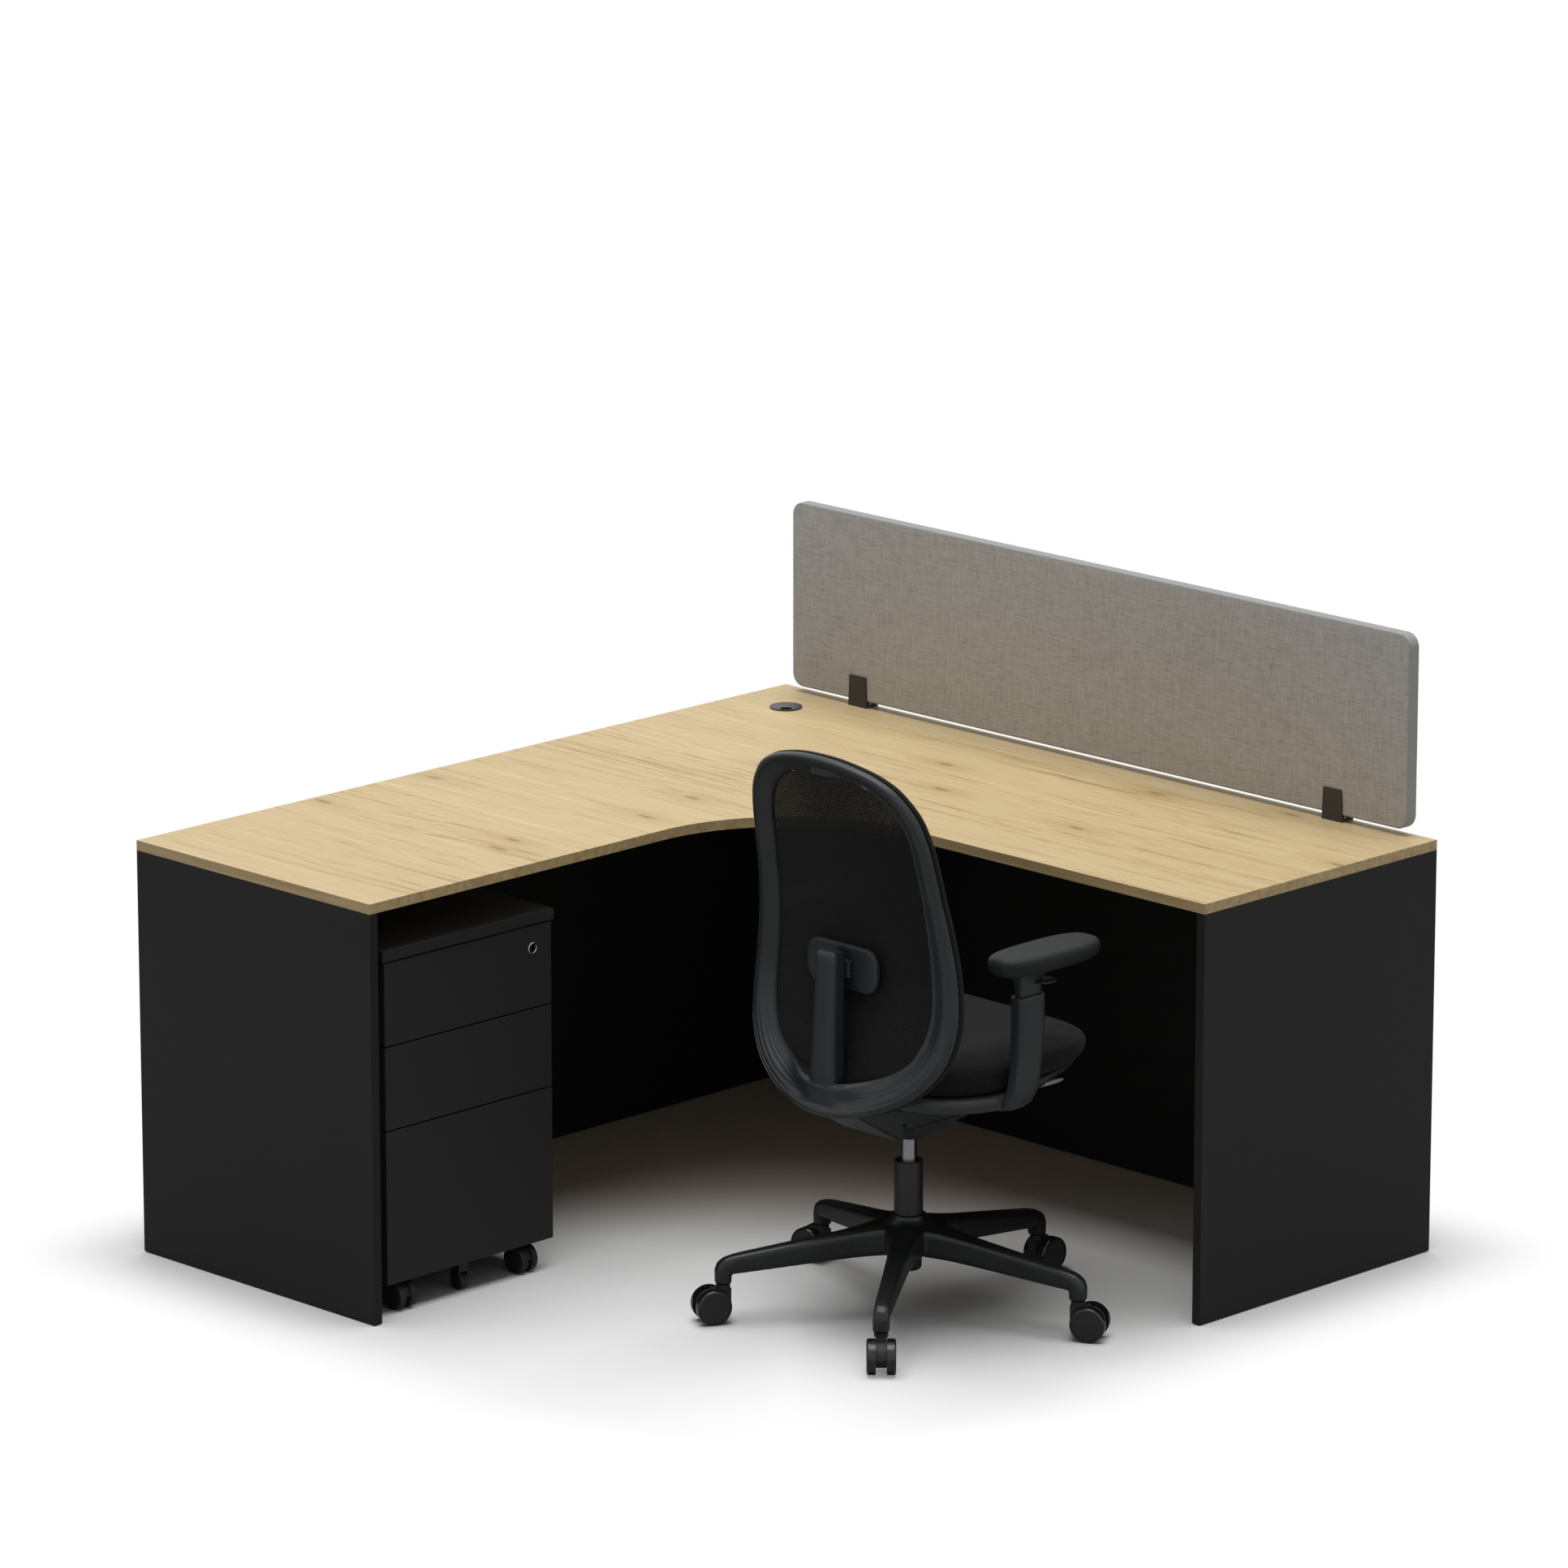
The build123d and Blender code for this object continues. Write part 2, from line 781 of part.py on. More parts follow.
def anti_tilt_wheel():
    """The small wheel that stops the pedestal from tipping over."""
    axle_z = stay_wheel_lift + stay_wheel_diameter / 2
    half = stay_width / 2 - stay_wall - stay_side_gap
    wheel = bar_between((stay_x, -half, axle_z), (stay_x, half, axle_z), stay_wheel_diameter / 2)
    wheel = fillet(wheel.edges(), stay_wall / 2)
    far = half + overrun
    bore = bar_between((stay_x, -far, axle_z), (stay_x, far, axle_z), stay_axle_diameter / 2 + run_gap)
    return in_pedestal(wheel - bore)


def caster_hood(sizes):
    """The swivelling middle of a twin-wheel caster, with its neck and pin, heading along +X."""
    radius = sizes["wheel"] / 2
    half = sizes["width"] / 2 - sizes["tread"] - sizes["side_gap"]
    trail, neck = sizes["trail"], sizes["neck"] / 2
    shell = Pos(trail, radius) * Circle(radius - sizes["strap"])
    shell -= Pos(trail, radius) * Rectangle(sizes["wheel"], radius, align=(Align.CENTER, Align.MAX))
    shell += Pos(trail, radius) * Circle(sizes["drum"] / 2)
    shoulder = sqrt(radius ** 2 - max(trail - neck, 0) ** 2) + radius
    shell += Pos((trail - neck) / 2, (radius + shoulder) / 2) * Rectangle(trail + neck, shoulder - radius)
    web = Pos(0, half, 0) * Rot(90, 0, 0) * extrude(shell, 2 * half)
    hood = web + upright(neck, shoulder, sizes["mouth"])
    hood += upright(sizes["pin"] / 2, sizes["mouth"], sizes["mouth"] + sizes["pin_length"])
    bore = sizes["axle"] / 2 + run_gap
    return hood - bar_between((trail, -half - overrun, radius), (trail, half + overrun, radius), bore)


def caster_wheels(sizes):
    """Two wheels on their common axle, heading along +X."""
    radius, half = sizes["wheel"] / 2, sizes["width"] / 2
    trail = sizes["trail"]
    inner = half - sizes["tread"]
    pair = bar_between((trail, -inner, radius), (trail, inner, radius), sizes["axle"] / 2)
    for side in (-1, 1):
        wheel = bar_between((trail, side * inner, radius), (trail, side * half, radius), radius)
        outer = wheel.edges().sort_by(Axis.Y)[0 if side < 0 else -1]
        wheel = fillet(outer, sizes["tread_round"])
        depth = side * (half - sizes["disc_inset"])
        rim = bar_between((trail, depth, radius), (trail, side * (half + overrun), radius),
                          radius - sizes["disc_rim"])
        pair += wheel - rim
    return pair


# Places on the chair
leg_angles = [leg_first_angle + i * degrees(2 * pi) / leg_count for i in range(leg_count)]


def in_chair(shape):
    """A shape drawn about the column's axis, moved to the chair's place."""
    return Pos(chair_x, chair_y, 0) * shape


def leg_end(angle):
    """The centre of a leg's caster socket."""
    return leg_radius * cos(radians(angle)), leg_radius * sin(radians(angle))


def chair_caster_place(number):
    """Where a chair caster stands and the way it heads."""
    x, y = leg_end(leg_angles[number])
    return Pos(x, y, 0) * Rot(0, 0, caster_headings[number])


def base_plan():
    """The five-legged plan with round leg ends and rounded valleys."""
    root, end = leg_root_width / 2, leg_end_width / 2
    half_step = pi / leg_count
    along = root / (sin(half_step) / cos(half_step) + (root - end) / leg_radius)
    valley = along / cos(half_step)
    points = []
    for angle in leg_angles:
        points.append(Vector(valley, 0).rotate(Axis.Z, angle - degrees(half_step)))
        points.append(Vector(leg_radius, -end).rotate(Axis.Z, angle))
        points.append(Vector(leg_radius, end).rotate(Axis.Z, angle))
    plan = make_face(Polyline(*points, close=True))
    valleys = plan.vertices().filter_by(lambda corner: Vector(corner.X, corner.Y).length < leg_radius / 2)
    plan = fillet(valleys, leg_valley_radius)
    for angle in leg_angles:
        plan += Pos(*leg_end(angle)) * Circle(end)
    return plan


def base_side():
    """Half of the base's outline from the side: hub, sloping leg and the post at its end."""
    outer = leg_radius + leg_end_width / 2 + leg_end_margin
    inner = leg_radius - leg_end_width / 2
    ring = hub_ring_diameter / 2
    foot = hub_foot_diameter / 2
    shoulder, elbow = (outer, leg_end_top), (inner, leg_end_under)
    face = make_face(Polyline(
        (0, hub_top),
        (ring, hub_top),
        (ring, hub_top - hub_ring_height),
        (hub_radius, leg_root_top),
        shoulder,
        (outer, post_bottom),
        (inner, post_bottom),
        elbow,
        (leg_root_reach, leg_root_under),
        (foot, leg_root_under),
        (foot, hub_foot),
        (0, hub_foot),
        close=True,
    ))
    for point, radius in ((shoulder, post_shoulder_round), (elbow, post_inner_round)):
        corner = face.vertices().sort_by_distance((*point, 0))[0]
        face = fillet(corner, radius)
    return face


def chair_base():
    """The five-star base, with a taper socket for the column and five caster sockets."""
    body = revolve(Rot(90, 0, 0) * base_side(), Axis.Z)
    body &= extrude(base_plan(), 2 * hub_top)
    body -= upright(column_diameter / 2 + run_gap, column_foot, hub_top + overrun)
    for angle in leg_angles:
        x, y = leg_end(angle)
        bore_top = chair_caster["mouth"] + chair_caster["pin_length"] + seat_gap
        body -= upright(chair_caster["pin"] / 2 + run_gap, post_bottom - overrun, bore_top, x, y)
    return in_chair(body)


def gas_column():
    """The outer tube of the gas lift, closed at its foot."""
    tube = upright(column_diameter / 2, column_foot, column_top)
    tube = fillet(tube.edges().sort_by(Axis.Z)[-1], column_lip)
    tube -= upright(rod_diameter / 2 + run_gap, column_foot + column_wall_bottom, column_top + overrun)
    return in_chair(tube)


def gas_rod():
    """The chrome rod of the gas lift."""
    rod = upright(rod_diameter / 2, rod_bottom, rod_top)
    return in_chair(rod)


def tilt_mechanism():
    """The cast housing under the seat, with the rod's socket, the recline pin and the lever's bore."""
    half = mechanism_width / 2
    body = block(-half, half, -mechanism_rear, mechanism_front, mechanism_bottom, pan_under)
    body = fillet(body.edges().filter_by(Axis.Z), mechanism_round)
    body = fillet(body.faces().sort_by(Axis.Z)[0].edges(), mechanism_round / 2)
    wide = 2 * (half - mechanism_draft)
    long = mechanism_front + mechanism_rear - 2 * mechanism_draft
    mouth = Pos(0, (mechanism_front - mechanism_rear) / 2, mechanism_bottom) * RectangleRounded(
        wide, long, mechanism_round
    )
    throat = Pos(0, 0, mechanism_boss_bottom) * RectangleRounded(
        mechanism_boss_diameter, mechanism_boss_diameter, mechanism_boss_diameter / 2 - mechanism_draft
    )
    body += loft([throat, mouth])
    body -= upright(rod_diameter / 2 + run_gap, mechanism_boss_bottom - overrun, rod_top + run_gap)
    reach = half + recline_cheek_gap + recline_cheek
    pin_ends = [(side * reach, -recline_back, recline_height) for side in (-1, 1)]
    body += bar_between(*pin_ends, recline_pin_diameter / 2)
    body -= upright(rod_diameter / 2 + run_gap, mechanism_boss_bottom - overrun, rod_top + run_gap)
    body -= bar_between(
        (half - lever_entry, lever_forward, lever_height), (half + overrun, lever_forward, lever_height),
        lever_rod_diameter / 2 + run_gap,
    )
    return in_chair(body)


def seat_outline(offset=0.0):
    """The seat's plan, wider at the front than its rear corners, larger by an offset on every side."""
    half = seat_width / 2 + offset
    front, rear = seat_front + offset, -seat_rear - offset
    face = make_face(Polyline((-half, rear), (half, rear), (half, front), (-half, front), close=True))
    corners = face.vertices()
    face = fillet(corners.filter_by(lambda corner: corner.Y > 0), seat_front_corner + offset)
    corners = face.vertices().filter_by(lambda corner: abs(corner.Y - rear) < run_gap)
    return fillet(corners, seat_rear_corner + offset)


def seat_pan():
    """The shell under the cushion, with its raised rim round the rear."""
    half = seat_width
    front = seat_front - pan_front_inset
    plate = extrude(seat_outline(-pan_inset), pan_thickness)
    plate &= block(-half, half, -half, front, -overrun, pan_thickness + overrun)
    ledge = extrude(seat_outline(rim_width + seat_gap), pan_thickness)
    wall = extrude(seat_outline(rim_width + seat_gap), rim_height) - extrude(seat_outline(seat_gap), rim_height)
    rear_only = block(-half, half, -half, rim_front, -overrun, rim_height + overrun)
    plate += ledge & rear_only
    pan = Pos(0, 0, pan_under) * plate
    pan += Pos(0, 0, pan_under - rim_drop) * (wall & rear_only)
    return in_chair(pan)


def seat_cushion():
    """The upholstered cushion: crowned on top, drawn in below, its underside rising at the front lip."""
    base = pan_under + pan_thickness
    sections = [
        Pos(0, 0, base + level * cushion_height) * scale(seat_outline(), share)
        for level, share in cushion_levels_shares
    ]
    cushion = loft(sections)
    start = seat_front - cushion_lip_back
    end = seat_front + overrun
    lip = make_face(Polyline(
        (start, base - overrun), (start, base), (end, base + cushion_lip_rise), (end, base - overrun), close=True
    ))
    wedge = Pos(-seat_width, 0, 0) * extrude(Plane.YZ * lip, 2 * seat_width)
    return in_chair(cushion - wedge)


def height_lever():
    """The lever of the gas lift: a rod from the housing with a paddle at the seat's right edge."""
    start = (mechanism_width / 2 - lever_entry, lever_forward, lever_height)
    lever = bar_between(start, (lever_reach, lever_forward, lever_height), lever_rod_diameter / 2)
    plate = RectangleRounded(paddle_width, paddle_length, paddle_width / 3)
    paddle = Pos(
        lever_reach - paddle_width / 2, lever_forward + paddle_length / 2 - lever_rod_diameter,
        lever_height - paddle_thickness / 2,
    ) * extrude(plate, paddle_thickness)
    return in_chair(lever + paddle)


def back_section(point, ahead, behind):
    """A level slice of the back's curved slab, from ahead of its middle surface to behind it."""
    y, z = point
    reach = back_half_width + overrun
    wrap = back_side_wrap * (reach / back_half_width) ** 2
    front = ThreePointArc((-reach, y + wrap + ahead), (0, y + ahead), (reach, y + wrap + ahead))
    rear = ThreePointArc((reach, y + wrap - behind), (0, y - behind), (-reach, y + wrap - behind))
    sides = [Line(front @ 1, rear @ 0), Line(rear @ 1, front @ 0)]
    return Pos(0, 0, z) * make_face([front, sides[0], rear, sides[1]])


def back_slab(ahead, behind):
    """The back's doubly curved slab."""
    return loft([back_section(point, ahead, behind) for point in back_side_points])


def back_prism(shares):
    """A pear-shaped outline given as shares of the back's half width and height, as a deep solid."""
    height = back_top - back_bottom
    points = [(back_half_width * x, back_bottom + height * z) for x, z in shares]
    right = Spline(*points, tangents=[(1, 0), (-1, 0)])
    face = make_face([right, mirror(right, Plane.YZ)])
    deepest = -min(y for y, z in back_side_points) + back_thickness
    return Rot(90, 0, 0) * extrude(face, deepest)


def spine():
    """The upright that rises from the shell and carries the lumbar plate."""
    foot = Pos(0, spine_foot_y, spine_bottom) * RectangleRounded(spine_foot_width, spine_foot_depth, spine_round)
    head = Pos(0, spine_y, spine_top) * RectangleRounded(spine_width, spine_depth, spine_round)
    post = loft([foot, head])
    post = fillet(post.faces().sort_by(Axis.Z)[-1].edges(), spine_round / 2)
    half = spine_groove_width / 2
    front = spine_y + spine_depth / 2
    groove = block(
        -half, half, front - spine_groove_depth, front + spine_foot_depth, spine_groove_bottom, spine_top + overrun
    )
    return post - groove


def back_frame():
    """The one-piece moulding of rim, lower shell and spine."""
    half = back_thickness / 2
    frame = back_slab(half, half) & back_prism(back_outline_shares)
    frame -= back_prism(window_outline_shares)
    return in_chair(frame + spine())


def back_mesh():
    """The mesh stretched across the frame's window."""
    half = mesh_thickness / 2
    sheet = back_slab(mesh_forward + half, half - mesh_forward)
    return in_chair(sheet & back_prism(window_outline_shares))


def recline_bar():
    """The fork and broad scoop that join the back to the recline pin under the seat."""
    inner = mechanism_width / 2 + recline_cheek_gap
    outer = inner + recline_cheek
    pivot_y, pivot_z = -recline_back, recline_height
    radius = recline_cheek_height / 2
    cheeks = Part()
    for side in (-1, 1):
        eye = bar_between((side * inner, pivot_y, pivot_z), (side * outer, pivot_y, pivot_z), radius)
        arm = block(side * inner, side * outer, -recline_bar_back, pivot_y, pivot_z - radius, pivot_z + radius)
        cheeks += eye + arm
    yoke = block(
        -outer, outer, -recline_bar_back, -recline_bar_back + recline_bar_thickness,
        pivot_z - radius, pivot_z + radius,
    )
    start = (0, -recline_bar_back + recline_bar_thickness / 2, pivot_z + radius - recline_scoop_depth / 2)
    end = (0, -recline_bar_reach, recline_bar_end_height)
    sections = [
        Plane(origin=point, x_dir=(1, 0, 0), z_dir=(0, -1, 0))
        * RectangleRounded(recline_scoop_width, depth, recline_scoop_round)
        for point, depth in ((start, recline_scoop_depth), (end, recline_scoop_end_depth))
    ]
    bar = cheeks + yoke + loft(sections)
    far = outer + overrun
    bore = bar_between((-far, pivot_y, pivot_z), (far, pivot_y, pivot_z), recline_pin_diameter / 2 + run_gap)
    return in_chair(bar - bore) - back_frame()


def lumbar_pad():
    """The lumbar plate behind the mesh, with the tongue that slides in the spine's groove."""
    plate = extrude(RectangleRounded(lumbar_width, lumbar_height, lumbar_corner), lumbar_thickness)
    plate = fillet(plate.edges(), lumbar_edge_round)
    plate = Pos(0, lumbar_front_y, lumbar_centre_z) * Rot(90, 0, 0) * plate
    rear = lumbar_front_y - lumbar_thickness
    spine_front = spine_y + spine_depth / 2
    half = lumbar_lug_width / 2
    low = lumbar_centre_z - lumbar_lug_height / 2
    high = low + lumbar_lug_height
    lug = block(-half, half, spine_front + seat_gap, rear, low, high)
    half = spine_groove_width / 2 - slide_gap
    tongue = block(-half, half, spine_front - spine_groove_depth + seat_gap, rear, low, high)
    return in_chair(plate + lug + tongue)


def arm_place(side):
    """The middle of an arm's upright on one side of the seat."""
    return Pos(side * arm_offset, arm_y, 0)


def arm_bracket(side):
    """The fixed half of an arm: a root under the seat pan, a bend and an upright sleeve."""
    half = sleeve_thickness / 2
    root_under = pan_under - arm_root_thickness
    root_end = arm_root_reach - arm_offset
    face = make_face(Polyline(
        (half, sleeve_top),
        (half, root_under),
        (root_end, root_under),
        (root_end, pan_under),
        (-half, pan_under),
        (-half, sleeve_top),
        close=True,
    ))
    outer = face.vertices().sort_by_distance((half, root_under, 0))[0]
    face = fillet(outer, arm_bend_radius)
    inner = face.vertices().sort_by_distance((-half, pan_under, 0))[0]
    face = fillet(inner, arm_inner_bend_radius)
    bracket = Pos(0, sleeve_width / 2, 0) * Rot(90, 0, 0) * extrude(face, sleeve_width)
    rims = bracket.faces().filter_by(Axis.Y)
    bracket = fillet(rims.edges(), arm_root_round)
    pocket = RectangleRounded(
        sleeve_thickness - 2 * sleeve_wall, sleeve_width - 2 * sleeve_wall, sleeve_round - sleeve_wall
    )
    bracket -= Pos(0, 0, pocket_bottom) * extrude(pocket, sleeve_top - pocket_bottom + overrun)
    if side < 0:
        bracket = mirror(bracket, Plane.YZ)
    return in_chair(arm_place(side) * bracket)


def arm_slider(side):
    """The sliding half of an arm: its post, the carrier under the pad and the release paddle."""
    inset = 2 * (sleeve_wall + slide_gap)
    post_face = RectangleRounded(
        sleeve_thickness - inset, sleeve_width - inset, sleeve_round - sleeve_wall - slide_gap
    )
    slider = Pos(0, 0, slider_bottom) * extrude(post_face, slider_top - slider_bottom)
    carrier_face = RectangleRounded(carrier_width, carrier_length, carrier_round)
    carrier = Pos(0, 0, slider_top) * extrude(carrier_face, carrier_height)
    slider += carrier
    paddle = Pos(0, carrier_length / 2, slider_top + button_drop) * extrude(
        Ellipse(button_width / 2, button_length / 2), button_thickness
    )
    slider += paddle
    if side < 0:
        slider = mirror(slider, Plane.YZ)
    return in_chair(arm_place(side) * slider)


def arm_pad(side):
    """The soft armrest pad."""
    pad = extrude(RectangleRounded(pad_width, pad_length, pad_corner), pad_thickness)
    pad = fillet(pad.edges(), pad_round)
    pad = Pos(pad_side_offset, pad_forward, pad_bottom) * pad
    if side < 0:
        pad = mirror(pad, Plane.YZ)
    return in_chair(arm_place(side) * pad)


def parts():
    """Every node's name with its shape."""
    nodes = {
        "worktop": worktop(),
        "left_end_panel": left_end_panel(),
        "right_end_panel": right_end_panel(),
        "rear_modesty_panel": rear_modesty_panel(),
        "side_modesty_panel": side_modesty_panel(),
        "panel_brackets": panel_brackets(),
        "assembly_screws": assembly_screws(),
        "floor_glides": floor_glides(),
        "grommet_sleeve": grommet_sleeve(),
        "grommet_cap": grommet_cap(),
        "privacy_screen": privacy_screen(),
        "screen_clips": screen_clips(),
        "pedestal_top": pedestal_top(),
        "pedestal_carcass": pedestal_carcass(),
        "drawer_runners": drawer_runners(),
        "lock_ring": lock_ring(),
        "lock_barrel": lock_barrel(),
        "anti_tilt_bracket": anti_tilt_bracket(),
        "anti_tilt_wheel": anti_tilt_wheel(),
        "chair_base": chair_base(),
        "gas_column": gas_column(),
        "gas_rod": gas_rod(),
        "tilt_mechanism": tilt_mechanism(),
        "seat_pan": seat_pan(),
        "seat_cushion": seat_cushion(),
        "height_lever": height_lever(),
        "back_frame": back_frame(),
        "back_mesh": back_mesh(),
        "recline_bar": recline_bar(),
        "lumbar_pad": lumbar_pad(),
    }
    for number in range(len(front_heights)):
        nodes[f"drawer_{number + 1}_front"] = drawer_front(number)
        nodes[f"drawer_{number + 1}_box"] = drawer_box(number)
    for number, (x, y) in enumerate(pedestal_caster_places):
        nodes[f"pedestal_caster_{number + 1}_hood"] = Pos(x, y, 0) * caster_hood(pedestal_caster)
        nodes[f"pedestal_caster_{number + 1}_wheels"] = Pos(x, y, 0) * caster_wheels(pedestal_caster)
    for number in range(leg_count):
        place = chair_caster_place(number)
        nodes[f"chair_caster_{number + 1}_hood"] = in_chair(place * caster_hood(chair_caster))
        nodes[f"chair_caster_{number + 1}_wheels"] = in_chair(place * caster_wheels(chair_caster))
    for name, side in (("left", -1), ("right", 1)):
        nodes[f"{name}_arm_bracket"] = arm_bracket(side)
        nodes[f"{name}_arm_slider"] = arm_slider(side)
        nodes[f"{name}_arm_pad"] = arm_pad(side)
    return nodes


os.makedirs("parts", exist_ok=True)
for name, shape in parts().items():
    export_step(shape, f"parts/{name}.step")
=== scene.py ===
"""The looks of an office workstation: corner desk, screen, drawer pedestal and swivel chair."""

import json
import math
from functools import cache

import bmesh
import bpy
import numpy as np
from bpy.props import FloatProperty, FloatVectorProperty, PointerProperty
from bpy.types import Operator, Panel, PropertyGroup
from mathutils import Matrix, Vector
from mathutils.geometry import interpolate_bezier


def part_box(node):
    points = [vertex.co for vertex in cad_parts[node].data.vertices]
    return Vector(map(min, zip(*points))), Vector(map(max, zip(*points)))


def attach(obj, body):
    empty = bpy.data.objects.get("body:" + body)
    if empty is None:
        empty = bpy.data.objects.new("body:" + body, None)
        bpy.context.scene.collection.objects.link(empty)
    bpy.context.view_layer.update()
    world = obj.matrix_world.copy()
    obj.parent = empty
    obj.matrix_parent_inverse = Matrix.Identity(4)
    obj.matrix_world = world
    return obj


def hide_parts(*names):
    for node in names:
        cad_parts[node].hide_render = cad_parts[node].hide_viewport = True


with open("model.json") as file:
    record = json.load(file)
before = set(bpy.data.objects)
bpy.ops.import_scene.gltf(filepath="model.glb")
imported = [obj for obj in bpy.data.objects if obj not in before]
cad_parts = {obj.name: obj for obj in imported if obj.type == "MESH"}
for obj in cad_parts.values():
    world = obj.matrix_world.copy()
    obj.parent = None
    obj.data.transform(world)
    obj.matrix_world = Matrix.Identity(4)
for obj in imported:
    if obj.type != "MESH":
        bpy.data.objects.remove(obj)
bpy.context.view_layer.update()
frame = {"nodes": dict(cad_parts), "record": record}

bl_info = {
    "name": "Office Workstation Looks",
    "version": (1, 0, 0),
    "blender": (4, 5, 0),
    "location": "3D View > Sidebar > Workstation",
    "description": "Builds the visible pieces and finishes of an office workstation",
    "category": "Object",
}

MM = 0.001


def middle(node):
    """The centre of a node's box."""
    low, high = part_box(node)
    return (low + high) / 2


# Read from the frame: the object's box, places of pieces and each node's material slot
CHAIR = middle("gas_rod").xy.to_3d()
SCREEN_LOW, SCREEN_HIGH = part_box("privacy_screen")
SLOTS = {entry["node"]: entry["material_slot"] for entry in frame["record"]["subparts"]}

# Counts of like pieces
DRAWERS = 3
PEDESTAL_CASTERS = 4
CHAIR_LEGS = 5

# Sizes of the chair in millimetres, from the foot of its column
SEAT_HALF = 243
SEAT_REAR = -150
SEAT_FRONT = 250
NOSE_START = 95
NOSE_LIFT = 34
CUSHION_FOOT = 445.5
CUSHION_CREST = 509
CUSHION_HELD = 458
SHELL_FOOT = 420
LUMBAR_HALF = (82.5, 39)
LUMBAR_MIDDLE = 652
ARM_SIDE = 265
ARM_MIDDLE = 13.6
PAD_WIDTH = 95
PAD_LENGTH = 238


# Looks


def srgb(red, green, blue):
    """A colour given by its display values from 0 to 255, as linear light."""
    shares = (value / 255 for value in (red, green, blue))
    return tuple(s / 12.92 if s <= 0.04045 else ((s + 0.055) / 1.055) ** 2.4 for s in shares)


def shaded(colour, factor):
    """A colour made darker or lighter by a factor."""
    return [value * factor for value in colour]


def tint(name, part, default):
    """The colour of a part, which a user can change."""
    return FloatVectorProperty(
        name=name, description=f"Colour of the {part}", default=default, subtype="COLOR", min=0.0, max=1.0
    )


def number(name, description, default, **settings):
    """A number that a user can change."""
    return FloatProperty(name=name, description=description, default=default, **settings)


def measure(name, description, default):
    """A length that a user can change, in metres."""
    return number(name, description, default, min=0.0, unit="LENGTH", precision=4)


class DeskLook(PropertyGroup):
    """Finishes of the desk's boards and fittings."""

    oak_light: tint("Oak light", "worktop's palest wood", srgb(222, 202, 160))
    oak_middle: tint("Oak", "worktop's wood", srgb(209, 186, 141))
    oak_dark: tint("Oak dark", "worktop's darkest streaks", srgb(178, 147, 99))
    oak_knot: tint("Oak knots", "knots", srgb(138, 106, 66))
    edge_light: tint("Edge light", "edge band's palest wood", srgb(205, 180, 134))
    edge_dark: tint("Edge dark", "edge band's darkest wood", srgb(178, 150, 106))
    board: tint("Board", "panels", srgb(34, 34, 34))
    pedestal: tint("Pedestal", "pedestal's boards", srgb(46, 46, 46))
    fitting: tint("Fitting", "screen's clips", srgb(50, 46, 42))
    grommet: tint("Grommet", "cable grommet", srgb(52, 51, 54))


class ScreenLook(PropertyGroup):
    """Sizes and colours of the upholstered screen."""

    corner: measure("Corner radius", "Radius of the screen's corners", 0.025)
    edge_round: measure("Edge rounding", "Rounding of the face's border", 0.0035)
    fabric: tint("Fabric", "fabric", srgb(188, 187, 189))
    yarn_light: tint("Light yarn", "pale yarns", srgb(203, 201, 200))
    yarn_dark: tint("Dark yarn", "dark yarns", srgb(161, 157, 156))
    yarn: measure("Yarn", "Distance between the fabric's yarns", 0.0011)
    border: tint("Border", "band round the edge", srgb(172, 172, 170))


class ChairLook(PropertyGroup):
    """Sizes and colours of the chair."""

    plastic: tint("Plastic", "moulded parts", srgb(37, 40, 42))
    gloss: tint("Gloss plastic", "casters' wheels", srgb(20, 20, 21))
    hood: tint("Caster hood", "casters' middles", srgb(30, 31, 32))
    base: tint("Base", "five-star base", srgb(25, 27, 28))
    fabric: tint("Seat fabric", "seat", srgb(30, 30, 30))
    mesh: tint("Mesh", "back's knit", srgb(20, 20, 20))
    mesh_pitch: measure("Mesh pitch", "Distance between the knit's holes", 0.0048)
    lever: tint("Lever", "height lever", srgb(150, 152, 152))


class StageLook(PropertyGroup):
    """Light, floor and camera."""

    sky_strength: number("Sky", "Strength of the all-round light", 0.2, min=0.0)
    lamp_power: number("Lamp", "Power of the overhead lamp in watts", 1320.0, min=0.0)
    lamp_size: measure("Lamp size", "Side of the overhead lamp", 10.5)
    lamp_height: measure("Lamp height", "Height of the lamp over the floor", 12.0)
    floor_size: measure("Floor size", "Side of the floor", 60.0)
    desk_half: measure("Desk half", "Half the side of the desk's square", 0.8)
    floor_seen: tint("Floor", "floor in the picture", (0.97, 0.97, 0.97))
    # Painted shade: the floor far under the desk takes this darker, warm colour in place of the shadow
    # there
    floor_deep: tint("Painted floor shade", "floor far under the desk", (0.70, 0.61, 0.52))
    floor_lit: tint("Floor bounce", "light that the floor throws back", (0.55, 0.55, 0.54))
    azimuth: number("Azimuth", "Way the camera looks", math.radians(44.93), subtype="ANGLE")
    elevation: number("Elevation", "How far the camera looks down", math.radians(14.546), subtype="ANGLE")
    eye: FloatVectorProperty(
        name="Eye", description="Place of the camera", default=(10.226, -10.258, 4.609),
        subtype="TRANSLATION", unit="LENGTH",
    )
    lens: number("Lens", "Focal length in millimetres", 197.8, min=1.0)


# Materials


